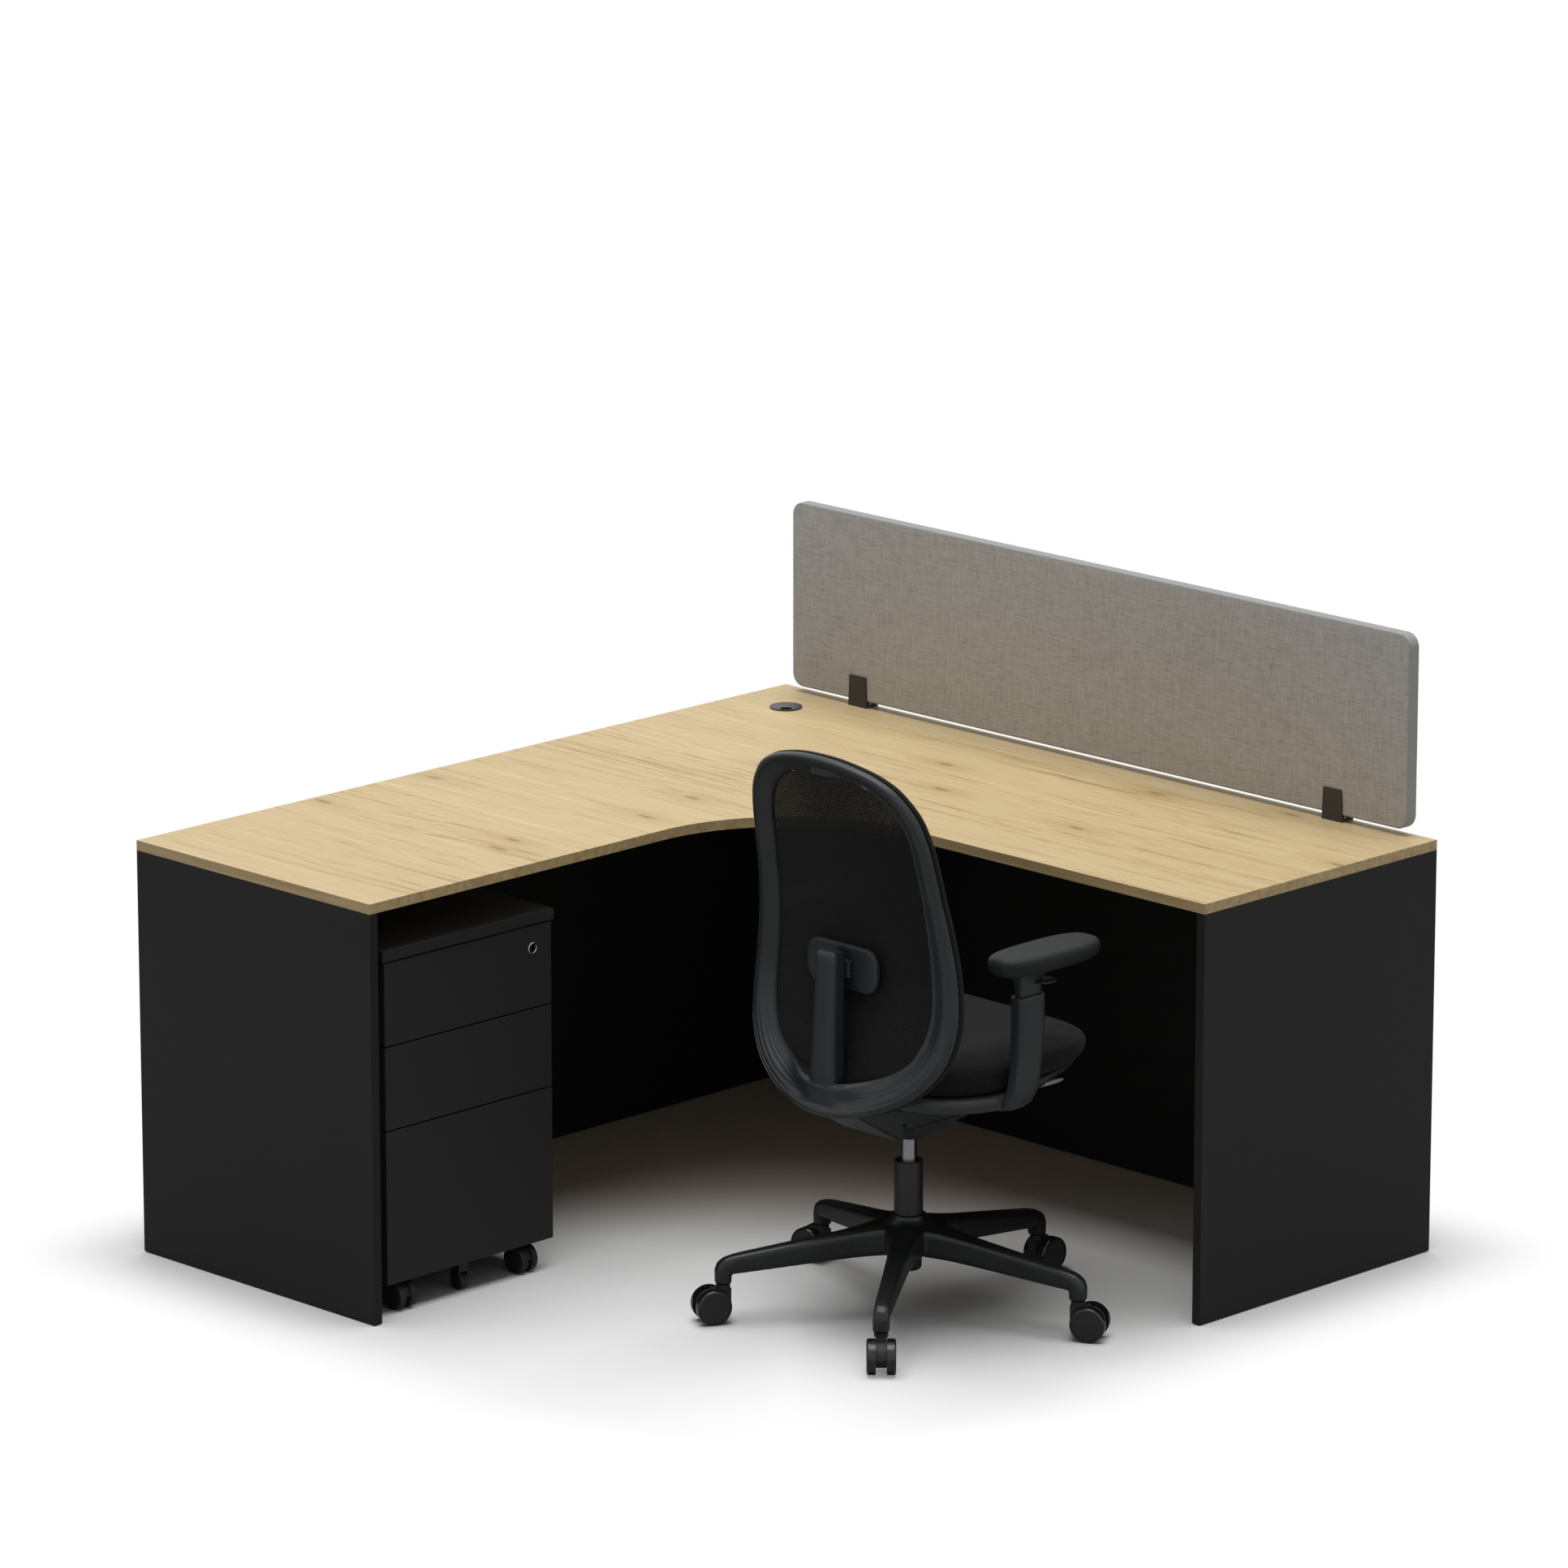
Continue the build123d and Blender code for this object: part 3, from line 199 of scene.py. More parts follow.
class Field:
    """A socket of a material's nodes, on which sums can be written."""

    def __init__(self, paint, socket):
        self.paint = paint
        self.socket = socket

    def math(self, operation, *values):
        return self.paint.node("ShaderNodeMath", {"operation": operation}, *values)

    def __add__(self, other):
        return self.math("ADD", self, other)

    def __radd__(self, other):
        return self.math("ADD", other, self)

    def __sub__(self, other):
        return self.math("SUBTRACT", self, other)

    def __rsub__(self, other):
        return self.math("SUBTRACT", other, self)

    def __mul__(self, other):
        return self.math("MULTIPLY", self, other)

    def __rmul__(self, other):
        return self.math("MULTIPLY", other, self)

    def __pow__(self, other):
        return self.math("POWER", self, other)

    def sine(self):
        return self.math("SINE", self)

    def size(self):
        return self.math("ABSOLUTE", self)

    def floored(self):
        """The value, or zero where it is less."""
        return self.math("MAXIMUM", self, 0.0)

    def least(self, other):
        return self.math("MINIMUM", self, other)

    def clamped(self):
        return self.paint.node("ShaderNodeClamp", {}, self)

    def between(self, low, high):
        """0 below low, 1 above high and smooth between them."""
        smoothed = {"interpolation_type": "SMOOTHSTEP"}
        return self.paint.node("ShaderNodeMapRange", smoothed, self, low, high, 0.0, 1.0)


class Paint:
    """One material, built round its Principled shader."""

    def __init__(self, name, **constants):
        self.material = bpy.data.materials.new(name)
        self.material.use_nodes = True
        self.tree = self.material.node_tree
        self.shader = self.tree.nodes["Principled BSDF"]
        self.wear(**constants)

    def connect(self, socket, value):
        """Gives a socket a link, or a number or colour of its own."""
        if isinstance(value, Field):
            self.tree.links.new(value.socket, socket)
        elif socket.type == "RGBA":
            socket.default_value = (*value[:3], 1.0)
        else:
            socket.default_value = value

    def node(self, kind, settings, *values, output=None, **named):
        """A node with its settings and its sockets' values, as its first output or the one named."""
        made = self.tree.nodes.new(kind)
        for key, value in settings.items():
            if key == "stops":
                self.set_stops(made.color_ramp, value)
            else:
                setattr(made, key, value)
        sockets = [socket for socket in made.inputs if socket.enabled]
        for socket, value in zip(sockets, values):
            self.connect(socket, value)
        for key, value in named.items():
            self.connect(next(s for s in sockets if s.name == key.replace("_", " ")), value)
        first = next(socket for socket in made.outputs if socket.enabled)
        return Field(self, made.outputs[output] if output else first)

    def set_stops(self, ramp, stops):
        """Puts the stops of a colour ramp."""
        while len(ramp.elements) < len(stops):
            ramp.elements.new(1.0)
        for element, (position, colour) in zip(ramp.elements, stops):
            element.position = position
            element.color = (*colour[:3], 1.0)

    def place(self):
        """The point on the object, in metres."""
        return self.node("ShaderNodeTexCoord", {}, output="Object")

    def axes(self, vector):
        """The three parts of a vector."""
        return [self.node("ShaderNodeSeparateXYZ", {}, vector, output=axis) for axis in "XYZ"]

    def stretched(self, x, y, z):
        """The point on the object, multiplied along each axis."""
        return self.node("ShaderNodeVectorMath", {"operation": "MULTIPLY"}, self.place(), (x, y, z))

    def noise(self, scale, detail=2.0, roughness=0.5):
        """Noise at one scale, or at a scale for each axis."""
        if isinstance(scale, tuple):
            vector, scale = self.stretched(*scale), 1.0
        else:
            vector = self.place()
        return self.node(
            "ShaderNodeTexNoise", {}, Vector=vector, Scale=scale, Detail=detail, Roughness=roughness
        )

    def mix(self, factor, first, second):
        """A colour between two colours."""
        return self.node("ShaderNodeMix", {"data_type": "RGBA"}, factor, first, second)

    def ramp(self, factor, *stops):
        return self.node("ShaderNodeValToRGB", {"stops": stops}, factor)

    def bump(self, height, strength, distance):
        return self.node("ShaderNodeBump", {}, Strength=strength, Distance=distance, Height=height)

    def wear(self, **fields):
        """Feeds the shader's sockets and returns the material."""
        for socket, value in fields.items():
            self.connect(self.shader.inputs[socket.replace("_", " ")], value)
        return self.material


class Sky(Paint):
    """The world's nodes, written as a material's are."""

    def __init__(self, world):
        world.use_nodes = True
        self.tree = world.node_tree


# Finishes


def oak(name, look):
    """Satin oak laminate with its grain along X, plainer on the edge band."""
    paint = Paint(name, IOR=1.45, Specular_IOR_Level=0.35)
    across = paint.axes(paint.place())[1]
    bend = paint.noise((1.6, 5, 5))
    streaks = paint.noise((3.4, 74, 74), detail=4, roughness=0.64)
    fibres = paint.noise((14, 420, 420), detail=3, roughness=0.65)
    broad = paint.noise((1.1, 8, 8), detail=1)
    ring_count, ring_shift = 430.0, 7.0
    bent = across + (bend - 0.5) * 0.16
    rings = (bent * ring_count + (streaks - 0.5) * ring_shift).sine() * 0.5 + 0.5
    figure = paint.noise((2.2, 11, 11), detail=1).between(0.52, 0.68)
    tone = streaks * 0.52 + fibres * 0.32 + broad * 0.16 - (rings - 0.5) * figure * 0.11
    colour = paint.ramp(
        tone, (0.38, look.oak_dark), (0.47, look.oak_middle), (0.54, look.oak_middle),
        (0.64, look.oak_light),
    )
    knots = paint.node(
        "ShaderNodeTexVoronoi", {"voronoi_dimensions": "2D", "feature": "F1"},
        Vector=paint.stretched(1.8, 5.6, 5.6), Scale=1.0, Randomness=1.0,
    )
    ragged = knots + (paint.noise((50, 190, 190)) - 0.5) * 0.05
    halo = (1.0 - ragged.between(0.03, 0.24)) * 0.35
    knot = (1.0 - ragged.between(0.012, 0.06)) * 0.65
    dashes = paint.noise((17, 230, 230)).between(0.60, 0.70) * 0.30
    pores = paint.noise((42, 1300, 1300), detail=1).between(0.60, 0.72) * 0.22
    layers = ((halo, look.oak_dark), (knot, look.oak_knot), (dashes, look.oak_dark), (pores, look.oak_dark))
    for share, layer in layers:
        colour = paint.mix(share, colour, layer)
    upward = paint.axes(paint.node("ShaderNodeNewGeometry", {}, output="Normal"))[2]
    edge = 1.0 - upward.size().between(0.4, 0.6)
    plain = paint.ramp(streaks, (0.35, look.edge_dark), (0.65, look.edge_light))
    return paint.wear(
        Base_Color=paint.mix(edge * 0.8, colour, plain), Roughness=0.44 + fibres * 0.12,
        Normal=paint.bump(fibres * 0.7 - pores, 0.12, 0.3 * MM),
    )


def board(name, colour, roughness):
    """Dark melamine with a fine pearl in it."""
    paint = Paint(name, IOR=1.45, Specular_IOR_Level=0.2)
    pearl = paint.noise(900)
    cloud = paint.noise(3)
    return paint.wear(
        Base_Color=paint.mix(cloud, colour, shaded(colour, 1.16)),
        Roughness=roughness - 0.04 + pearl * 0.08, Normal=paint.bump(pearl, 0.10, 0.2 * MM),
    )


def plastic(name, colour, roughness=0.42, grain=1400, depth=0.12, shine=0.4):
    """Moulded plastic with a fine spark-eroded grain and slightly polished patches."""
    paint = Paint(name, IOR=1.48, Specular_IOR_Level=shine)
    fine = paint.noise(grain, roughness=0.6)
    rub = paint.noise(9, detail=3)
    return paint.wear(
        Base_Color=paint.mix(rub * 0.5, colour, shaded(colour, 1.25)),
        Roughness=roughness - 0.03 + rub * 0.08, Normal=paint.bump(fine, depth, 0.15 * MM),
    )


def metal(name, colour, roughness, strength):
    """Bare or plated metal with fine marks along one direction."""
    paint = Paint(name, Metallic=1.0)
    marks = paint.noise((25, 25, 1500), detail=3)
    return paint.wear(
        Base_Color=paint.mix(marks, shaded(colour, 0.88), colour), Roughness=roughness + marks * 0.08,
        Normal=paint.bump(marks, strength, 0.1 * MM),
    )


def linen(name, look):
    """Linen-look screen fabric: uneven yarns both ways, the thick ones longer and darker."""
    paint = Paint(name, IOR=1.4, Specular_IOR_Level=0.2, Sheen_Weight=0.1)
    x, _, z = paint.axes(paint.place())
    waves = math.tau / look.yarn
    upright = paint.noise((820, 60, 34), roughness=0.6)
    level = paint.noise((34, 60, 820), roughness=0.6)
    slub_up = paint.noise((330, 60, 26), detail=1).between(0.60, 0.74)
    slub_level = paint.noise((26, 60, 330), detail=1).between(0.60, 0.74)
    weave = (x * waves).sine() * (z * waves).sine() * 0.5 + 0.5
    yarns = (upright + level) * 0.5 - (slub_up + slub_level * 0.6) * 0.025
    tone = yarns + (paint.noise(5) - 0.5) * 0.06 + (weave - 0.5) * 0.05
    colour = paint.ramp(tone, (0.34, look.yarn_dark), (0.5, look.fabric), (0.66, look.yarn_light))
    height = weave * 0.5 + (slub_up + slub_level) * 0.35 + (upright + level) * 0.3
    return paint.wear(
        Base_Color=colour, Roughness=0.9 + weave * 0.06, Normal=paint.bump(height, 0.45, 0.3 * MM)
    )


def upholstery(name, colour, light, dark, yarn, depth, mottle=1.0):
    """Plain-woven fabric: warp and weft in two directions of the piece, each yarn of its own shade."""
    paint = Paint(name, IOR=1.4, Specular_IOR_Level=0.14, Sheen_Weight=0.06, Sheen_Roughness=0.5)
    x, y, z = paint.axes(paint.place())
    warp = ((x + y) * (math.tau / yarn)).sine()
    weft = ((z + y * 0.35) * (math.tau / yarn)).sine()
    weave = warp * weft * 0.5 + 0.5
    fleck = paint.noise(520, detail=3, roughness=0.7)
    tone = fleck + (paint.noise(7) - 0.5) * 0.10 + (weave - 0.5) * 0.06
    spread = 0.13 / mottle
    shades = ((0.5 - spread, shaded(colour, dark)), (0.5, colour), (0.5 + spread, shaded(colour, light)))
    return paint.wear(
        Base_Color=paint.ramp(tone, *shades), Roughness=0.88 + weave * 0.08,
        Normal=paint.bump(weave + fleck * 0.6, depth, 0.35 * MM),
    )


def knit(name, look, open_share):
    """Open knit: staggered small holes between rounded yarns, coloured darker between the yarns and lighter
    on their crests as painted shade and painted highlight.
    """
    paint = Paint(name, IOR=1.4, Specular_IOR_Level=0.25, Sheen_Weight=0.05)
    x, _, z = paint.axes(paint.place())
    pitch = look.mesh_pitch
    row = (z * (math.tau / (pitch * 0.86))).sine()
    wave = (x * (math.tau / pitch)).sine() * row
    hole = (0.0 - wave).between(0.23, 0.46)
    yarn = wave * 0.5 + 0.5
    shade = paint.noise(260)
    # Painted shade and painted highlight: the colour follows the yarns' relief, dark in the hollows and
    # light on the crests, with random tone from noise
    return paint.wear(
        Base_Color=paint.mix(yarn * 0.8 + shade * 0.2, shaded(look.mesh, 0.3), shaded(look.mesh, 2.2)),
        Roughness=0.75 + shade * 0.1, Alpha=1.0 - hole * open_share, Normal=paint.bump(yarn, 0.6, 0.5 * MM),
    )


def gloss(name, colour):
    """Polished moulded nylon with light handling marks."""
    paint = Paint(name, IOR=1.5)
    marks = paint.noise(60, detail=4)
    return paint.wear(
        Base_Color=paint.mix(marks, colour, shaded(colour, 1.3)), Roughness=0.16 + marks * 0.12,
        Normal=paint.bump(marks, 0.02, MM),
    )


@cache
def finish(name):
    """A finished material, made once."""
    scene = bpy.context.scene
    desk, screen, chair = scene.desk_look, scene.screen_look, scene.chair_look
    makers = {
        "oak_laminate": (oak, desk, {}),
        "dark_board": (board, desk.board, {"roughness": 0.55}),
        "pedestal_board": (board, desk.pedestal, {"roughness": 0.48}),
        "drawer_board": (board, srgb(92, 92, 92), {"roughness": 0.5}),
        "zinc_steel": (metal, srgb(190, 192, 195), {"roughness": 0.35, "strength": 0.05}),
        "lock_chrome": (metal, srgb(215, 215, 215), {"roughness": 0.08, "strength": 0.01}),
        "rod_chrome": (metal, srgb(150, 151, 152), {"roughness": 0.2, "strength": 0.01}),
        "glide_plastic": (plastic, srgb(30, 30, 30), {}),
        "wheel_plastic": (plastic, srgb(38, 38, 38), {}),
        "grommet_plastic": (plastic, desk.grommet, {"roughness": 0.4}),
        "clip_plastic": (plastic, desk.fitting, {"roughness": 0.5}),
        "column_steel": (plastic, srgb(38, 40, 41), {"roughness": 0.35}),
        "cast_housing": (plastic, srgb(34, 36, 37), {"roughness": 0.5, "grain": 700, "depth": 0.2}),
        "recline_steel": (plastic, srgb(34, 36, 37), {"roughness": 0.4}),
        "chair_plastic": (plastic, chair.plastic, {}),
        "base_plastic": (plastic, chair.base, {"roughness": 0.34}),
        "hood_plastic": (plastic, chair.hood, {"roughness": 0.55}),
        "lever_plastic": (plastic, chair.lever, {"roughness": 0.35}),
        "pad_foam": (
            plastic, srgb(32, 34, 35), {"roughness": 0.5, "grain": 900, "depth": 0.2, "shine": 0.16}
        ),
        "caster_plastic": (gloss, chair.gloss, {}),
        "screen_fabric": (linen, screen, {}),
        "screen_border": (
            upholstery, screen.border,
            {"light": 1.12, "dark": 0.8, "yarn": 1.15 * MM, "depth": 0.25, "mottle": 0.6},
        ),
        "seat_fabric": (
            upholstery, chair.fabric, {"light": 1.45, "dark": 0.7, "yarn": 1.4 * MM, "depth": 0.6}
        ),
        "back_mesh": (knit, chair, {"open_share": 0.85}),
        "hem_knit": (knit, chair, {"open_share": 0.0}),
    }
    maker, source, settings = makers[name]
    return maker(name, source, **settings)


def dress(*nodes, material=None):
    """Gives CAD nodes a finish, or else that of their own material slot."""
    for name in nodes:
        for slot in frame["nodes"][name].material_slots:
            slot.material = finish(material or SLOTS[name])


# Shapes


def smooth(share):
    """0 below 0, 1 above 1 and smooth between them."""
    share = min(1.0, max(0.0, share))
    return share * share * (3 - 2 * share)


def chair_point(x, y, z):
    """A point given in millimetres from the foot of the chair's column."""
    return CHAIR + Vector((x, y, z)) * MM


def bevel(bm, geom, offset, segments, affect="VERTICES", material=-1):
    """Rounds corners or edges."""
    bmesh.ops.bevel(
        bm, geom=geom, offset=offset, offset_type="OFFSET", segments=segments, profile=0.5,
        affect=affect, clamp_overlap=False, material=material,
    )


def rounded_outline(low, high, offsets, segments):
    """A rectangle's line, each corner rounded from an offset along its sides, as points in order."""
    corners = (low, (high[0], low[1]), high, (low[0], high[1]))
    bm = bmesh.new()
    ring = bmesh.ops.create_circle(bm, segments=len(corners), radius=1.0, cap_ends=True)["verts"]
    for vert, corner in zip(ring, corners):
        vert.co = (*corner, 0.0)
    for vert, offset in zip(ring, offsets):
        bevel(bm, [vert], offset, segments)
    bmesh.ops.remove_doubles(bm, verts=bm.verts, dist=0.3 * MM)
    points = [vert.co.copy() for vert in next(iter(bm.faces)).verts]
    bm.free()
    return points


def spread_points(points, count):
    """A smooth closed line through points, as evenly spaced points."""
    points = [Vector(p) for p in points]
    total = len(points)
    fine = []
    for i in range(total):
        before, a, b, after = (points[(i + k) % total] for k in (-1, 0, 1, 2))
        fine.extend(interpolate_bezier(a, a + (b - before) / 6, b - (after - a) / 6, b, 24)[:-1])
    fine.append(points[0])
    fine = np.array([tuple(p) for p in fine])
    run = np.concatenate([[0.0], np.cumsum(np.linalg.norm(np.diff(fine, axis=0), axis=1))])
    steps = np.linspace(0.0, run[-1], count, endpoint=False)
    return [Vector(tuple(np.interp(s, run, fine[:, i]) for i in range(fine.shape[1]))) for s in steps]


def soft_rectangle(width, depth, power, count):
    """A rectangle with soft corners, as a closed loop of points on the plane."""
    loop = []
    for i in range(count):
        angle = math.tau * (i + 0.5) / count
        c, s = math.cos(angle), math.sin(angle)
        x = math.copysign(abs(c) ** (2 / power), c) * width / 2
        y = math.copysign(abs(s) ** (2 / power), s) * depth / 2
        loop.append(Vector((x, y)))
    return loop


def level_loop(x, y, z, width, depth, power, count):
    """A level rectangle with soft corners round a point of the chair."""
    return [chair_point(x + p.x, y + p.y, z) for p in soft_rectangle(width, depth, power, count)]


def next_loop(bm, loop):
    """Extrudes a closed loop of vertices and returns the new loop in the same order."""
    edges = [bm.edges.get((a, b)) for a, b in zip(loop, loop[1:] + loop[:1])]
    made = bmesh.ops.extrude_edge_only(bm, edges=edges)
    fresh = {item for item in made["geom"] if isinstance(item, bmesh.types.BMVert)}
    return [next(e.other_vert(v) for e in v.link_edges if e.other_vert(v) in fresh) for v in loop]


def skin(bm, sections, joined=False):
    """A skin over closed sections with as many points each, capped at its ends or joined into a ring."""
    loops = [bmesh.ops.create_circle(bm, segments=len(sections[0]), radius=1.0)["verts"]]
    for _ in sections[1:]:
        loops.append(next_loop(bm, loops[-1]))
    for verts, section in zip(loops, sections):
        for vert, point in zip(verts, section):
            vert.co = point
    if joined:
        ends = (loops[0], loops[-1])
        edges = [bm.edges.get((a, b)) for end in ends for a, b in zip(end, end[1:] + end[:1])]
        bmesh.ops.bridge_loops(bm, edges=edges)
    else:
        open_edges = [edge for edge in bm.edges if edge.is_boundary]
        bmesh.ops.holes_fill(bm, edges=open_edges, sides=0)


def put_in_scene(name, data):
    """Puts a mesh, lamp or camera in the scene as an object."""
    made = bpy.data.objects.new(name, data)
    bpy.context.scene.collection.objects.link(made)
    return made


def to_mesh(bm, name):
    """Ends a bmesh as a mesh."""
    mesh = bpy.data.meshes.new(name)
    bm.to_mesh(mesh)
    bm.free()
    return mesh


def to_piece(bm, name, material, body, slot=None, sharp=35.0, replaces=()):
    """Makes a finished piece of a bmesh and sets it riding on its body."""
    bmesh.ops.remove_doubles(bm, verts=bm.verts, dist=0.01 * MM)
    bmesh.ops.recalc_face_normals(bm, faces=bm.faces)
    mesh = to_mesh(bm, name)
    mesh.shade_smooth()
    mesh.set_sharp_from_angle(angle=math.radians(sharp))
    mesh.materials.append(finish(material))
    piece = put_in_scene(name, mesh)
    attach(piece, body)
    if replaces:
        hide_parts(*replaces)
    return piece


def skinned(name, material, body, *stacks, joined=False, **settings):
    """Makes a piece with a skin over each of its stacks of sections."""
    bm = bmesh.new()
    for sections in stacks:
        skin(bm, sections, joined)
    return to_piece(bm, name, material, body, **settings)


def add_modifier(piece, kind, **settings):
    """Adds a modifier and sets it."""
    modifier = piece.modifiers.new(kind.title(), kind)
    for key, value in settings.items():
        setattr(modifier, key, value)
    return modifier


def apply_modifiers(piece):
    """Bakes a piece's modifiers into its mesh."""
    graph = bpy.context.evaluated_depsgraph_get()
    baked = bpy.data.meshes.new_from_object(piece.evaluated_get(graph))
    piece.modifiers.clear()
    piece.data = baked


def puff(piece, cap, is_held, voxel=5 * MM, pressure=4.0, frames=20):
    """Swells a piece as padded cloth, held where a test says, and moves no point further than the cap."""
    add_modifier(piece, "REMESH", mode="VOXEL", voxel_size=voxel)
    apply_modifiers(piece)
    verts = piece.data.vertices
    before = np.empty(len(verts) * 3)
    verts.foreach_get("co", before)
    held = piece.vertex_groups.new(name="held")
    held.add([vert.index for vert in verts if is_held(vert.co)], 1.0, "REPLACE")
    cloth = add_modifier(piece, "CLOTH").settings
    cloth.use_pressure = True
    cloth.uniform_pressure_force = pressure
    cloth.effector_weights.gravity = 0.0
    cloth.vertex_group_mass = held.name
    for frame_number in range(1, frames + 1):
        bpy.context.scene.frame_set(frame_number)
    apply_modifiers(piece)
    bpy.context.scene.frame_set(1)
    piece.vertex_groups.clear()
    after = np.empty(len(before))
    piece.data.vertices.foreach_get("co", after)
    step = (after - before).reshape(-1, 3)
    length = np.linalg.norm(step, axis=1, keepdims=True)
    step *= np.minimum(1.0, cap / np.maximum(length, 1e-9))
    piece.data.vertices.foreach_set("co", before + step.ravel())
    piece.data.update()
    add_modifier(piece, "SMOOTH", factor=0.5, iterations=14)
    apply_modifiers(piece)
    piece.data.shade_smooth()


def numbered(pattern, count):
    """Node names with running numbers."""
    return [pattern.format(i + 1) for i in range(count)]


# Desk and pedestal


class WORKSTATION_OT_desk(Operator):
    """Finish the worktop, panels, brackets and cable grommet"""

    bl_idname = "workstation.desk"
    bl_label = "Desk"

    def execute(self, context):
        dress(
            "worktop", "left_end_panel", "right_end_panel", "rear_modesty_panel", "side_modesty_panel",
            "panel_brackets", "assembly_screws", "floor_glides", "grommet_sleeve", "grommet_cap",
            "screen_clips",
        )
        return {"FINISHED"}


class WORKSTATION_OT_screen(Operator):
    """Build the upholstered screen with its edge band"""

    bl_idname = "workstation.screen"
    bl_label = "Screen"

    def execute(self, context):
        look = context.scene.screen_look
        size, centre = SCREEN_HIGH - SCREEN_LOW, (SCREEN_LOW + SCREEN_HIGH) / 2
        bm = bmesh.new()
        bmesh.ops.create_grid(bm, x_segments=1, y_segments=1, size=0.5)
        bmesh.ops.scale(bm, vec=(size.x, size.z, 1.0), verts=bm.verts)
        bevel(bm, bm.verts, look.corner, segments=10)
        bmesh.ops.rotate(bm, cent=(0, 0, 0), matrix=Matrix.Rotation(math.pi / 2, 3, "X"), verts=bm.verts)
        made = bmesh.ops.extrude_face_region(bm, geom=bm.faces[:])
        moved = [v for v in made["geom"] if isinstance(v, bmesh.types.BMVert)]
        bmesh.ops.translate(bm, vec=(0, size.y, 0), verts=moved)
        bmesh.ops.translate(bm, vec=(centre.x, SCREEN_LOW.y, centre.z), verts=bm.verts)
        bmesh.ops.recalc_face_normals(bm, faces=bm.faces)
        for face in bm.faces:
            face.material_index = int(abs(face.normal.y) < 0.5)
        rim = [edge for edge in bm.edges if len({face.material_index for face in edge.link_faces}) > 1]
        bevel(bm, rim, look.edge_round, segments=4, affect="EDGES", material=1)
        piece = to_piece(bm, "screen_board", "screen_fabric", "desk", replaces=["privacy_screen"])
        piece.data.materials.append(finish("screen_border"))
        return {"FINISHED"}


class WORKSTATION_OT_pedestal(Operator):
    """Finish the drawer pedestal, its lock and its casters"""

    bl_idname = "workstation.pedestal"
    bl_label = "Pedestal"

    def execute(self, context):
        dress("pedestal_top", "pedestal_carcass", "drawer_runners", "lock_ring", "lock_barrel")
        dress("anti_tilt_bracket", "anti_tilt_wheel")
        for piece in ("front", "box"):
            dress(*numbered("drawer_{}_" + piece, DRAWERS))
        for piece in ("hood", "wheels"):
            dress(*numbered("pedestal_caster_{}_" + piece, PEDESTAL_CASTERS), material="hood_plastic")
        return {"FINISHED"}


# Chair

# A leg's sections: distance from the column, height, turn in degrees, width and depth
LEG = [
    (20, 139, 6, 70, 54), (46, 137.4, 6, 70, 53.5), (60, 135.4, 7, 61, 52), (76, 132.8, 8, 51, 50),
    (98, 129.6, 8.3, 42, 47.5), (130, 125.2, 8.3, 37, 45), (175, 119.3, 8.3, 34, 42),
    (220, 113.2, 8.3, 31.5, 39), (260, 107.8, 8.3, 29.5, 36), (290, 103.8, 9, 28.5, 34),
    (305, 101.4, 12, 28, 33), (314, 99.2, 27, 28, 32), (319.8, 95.4, 50, 28.4, 31.5),
    (322.2, 89, 76, 28.8, 30.5), (322.5, 80, 90, 29, 29), (322.5, 69, 90, 28.4, 28.4),
]
# The hub's turned line: radius and height
HUB = [
    (0, 79), (20, 79), (23, 82), (24, 112), (44, 112), (48, 124), (48, 148), (44, 159), (38, 167),
    (33, 172), (30.5, 175), (30.5, 179), (29.5, 180), (0, 180),
]


class WORKSTATION_OT_chair_base(Operator):
    """Build the five-star base, and finish its casters and the gas lift"""

    bl_idname = "workstation.chair_base"
    bl_label = "Chair base"

    def execute(self, context):
        dress("gas_column", "gas_rod")
        dress(*numbered("chair_caster_{}_hood", CHAIR_LEGS), material="hood_plastic")
        dress(*numbered("chair_caster_{}_wheels", CHAIR_LEGS))
        bm = bmesh.new()
        first_leg = 18
        for number in range(CHAIR_LEGS):
            self.add_leg(bm, math.radians(first_leg + 360 / CHAIR_LEGS * number))
        self.add_hub(bm)
        bmesh.ops.translate(bm, vec=CHAIR, verts=bm.verts)
        base = to_piece(bm, "five_star_base", "base_plastic", "chair_base", replaces=["chair_base"])
        add_modifier(base, "REMESH", mode="VOXEL", voxel_size=2.2 * MM, use_smooth_shade=True)
        add_modifier(base, "SMOOTH", factor=0.5, iterations=6)
        apply_modifiers(base)
        return {"FINISHED"}

    def add_leg(self, bm, angle):
        """One leg, broad and square at the hub, that slopes out and bends down into its caster's socket."""
        out = Vector((math.cos(angle), math.sin(angle), 0))
        side = Vector((-math.sin(angle), math.cos(angle), 0))
        sections = []
        for r, z, tilt, width, height in LEG:
            tilt = math.radians(tilt)
            up = out * math.sin(tilt) + Vector((0, 0, math.cos(tilt)))
            centre = out * r + Vector((0, 0, z))
            power = 5.0 - 1.9 * smooth((r - 285) / 30)
            loop = soft_rectangle(width, height, power, count=40)
            sections.append([(centre + side * p.x + up * p.y) * MM for p in loop])
        skin(bm, sections)

    def add_hub(self, bm):
        """The turned hub with its ring under the column."""
        verts = [bm.verts.new((r * MM, 0.0, z * MM)) for r, z in HUB]
        edges = [bm.edges.new(pair) for pair in zip(verts, verts[1:])]
        bmesh.ops.spin(
            bm, geom=verts + edges, cent=(0, 0, 0), axis=(0, 0, 1), angle=math.tau, steps=64, use_merge=True
        )


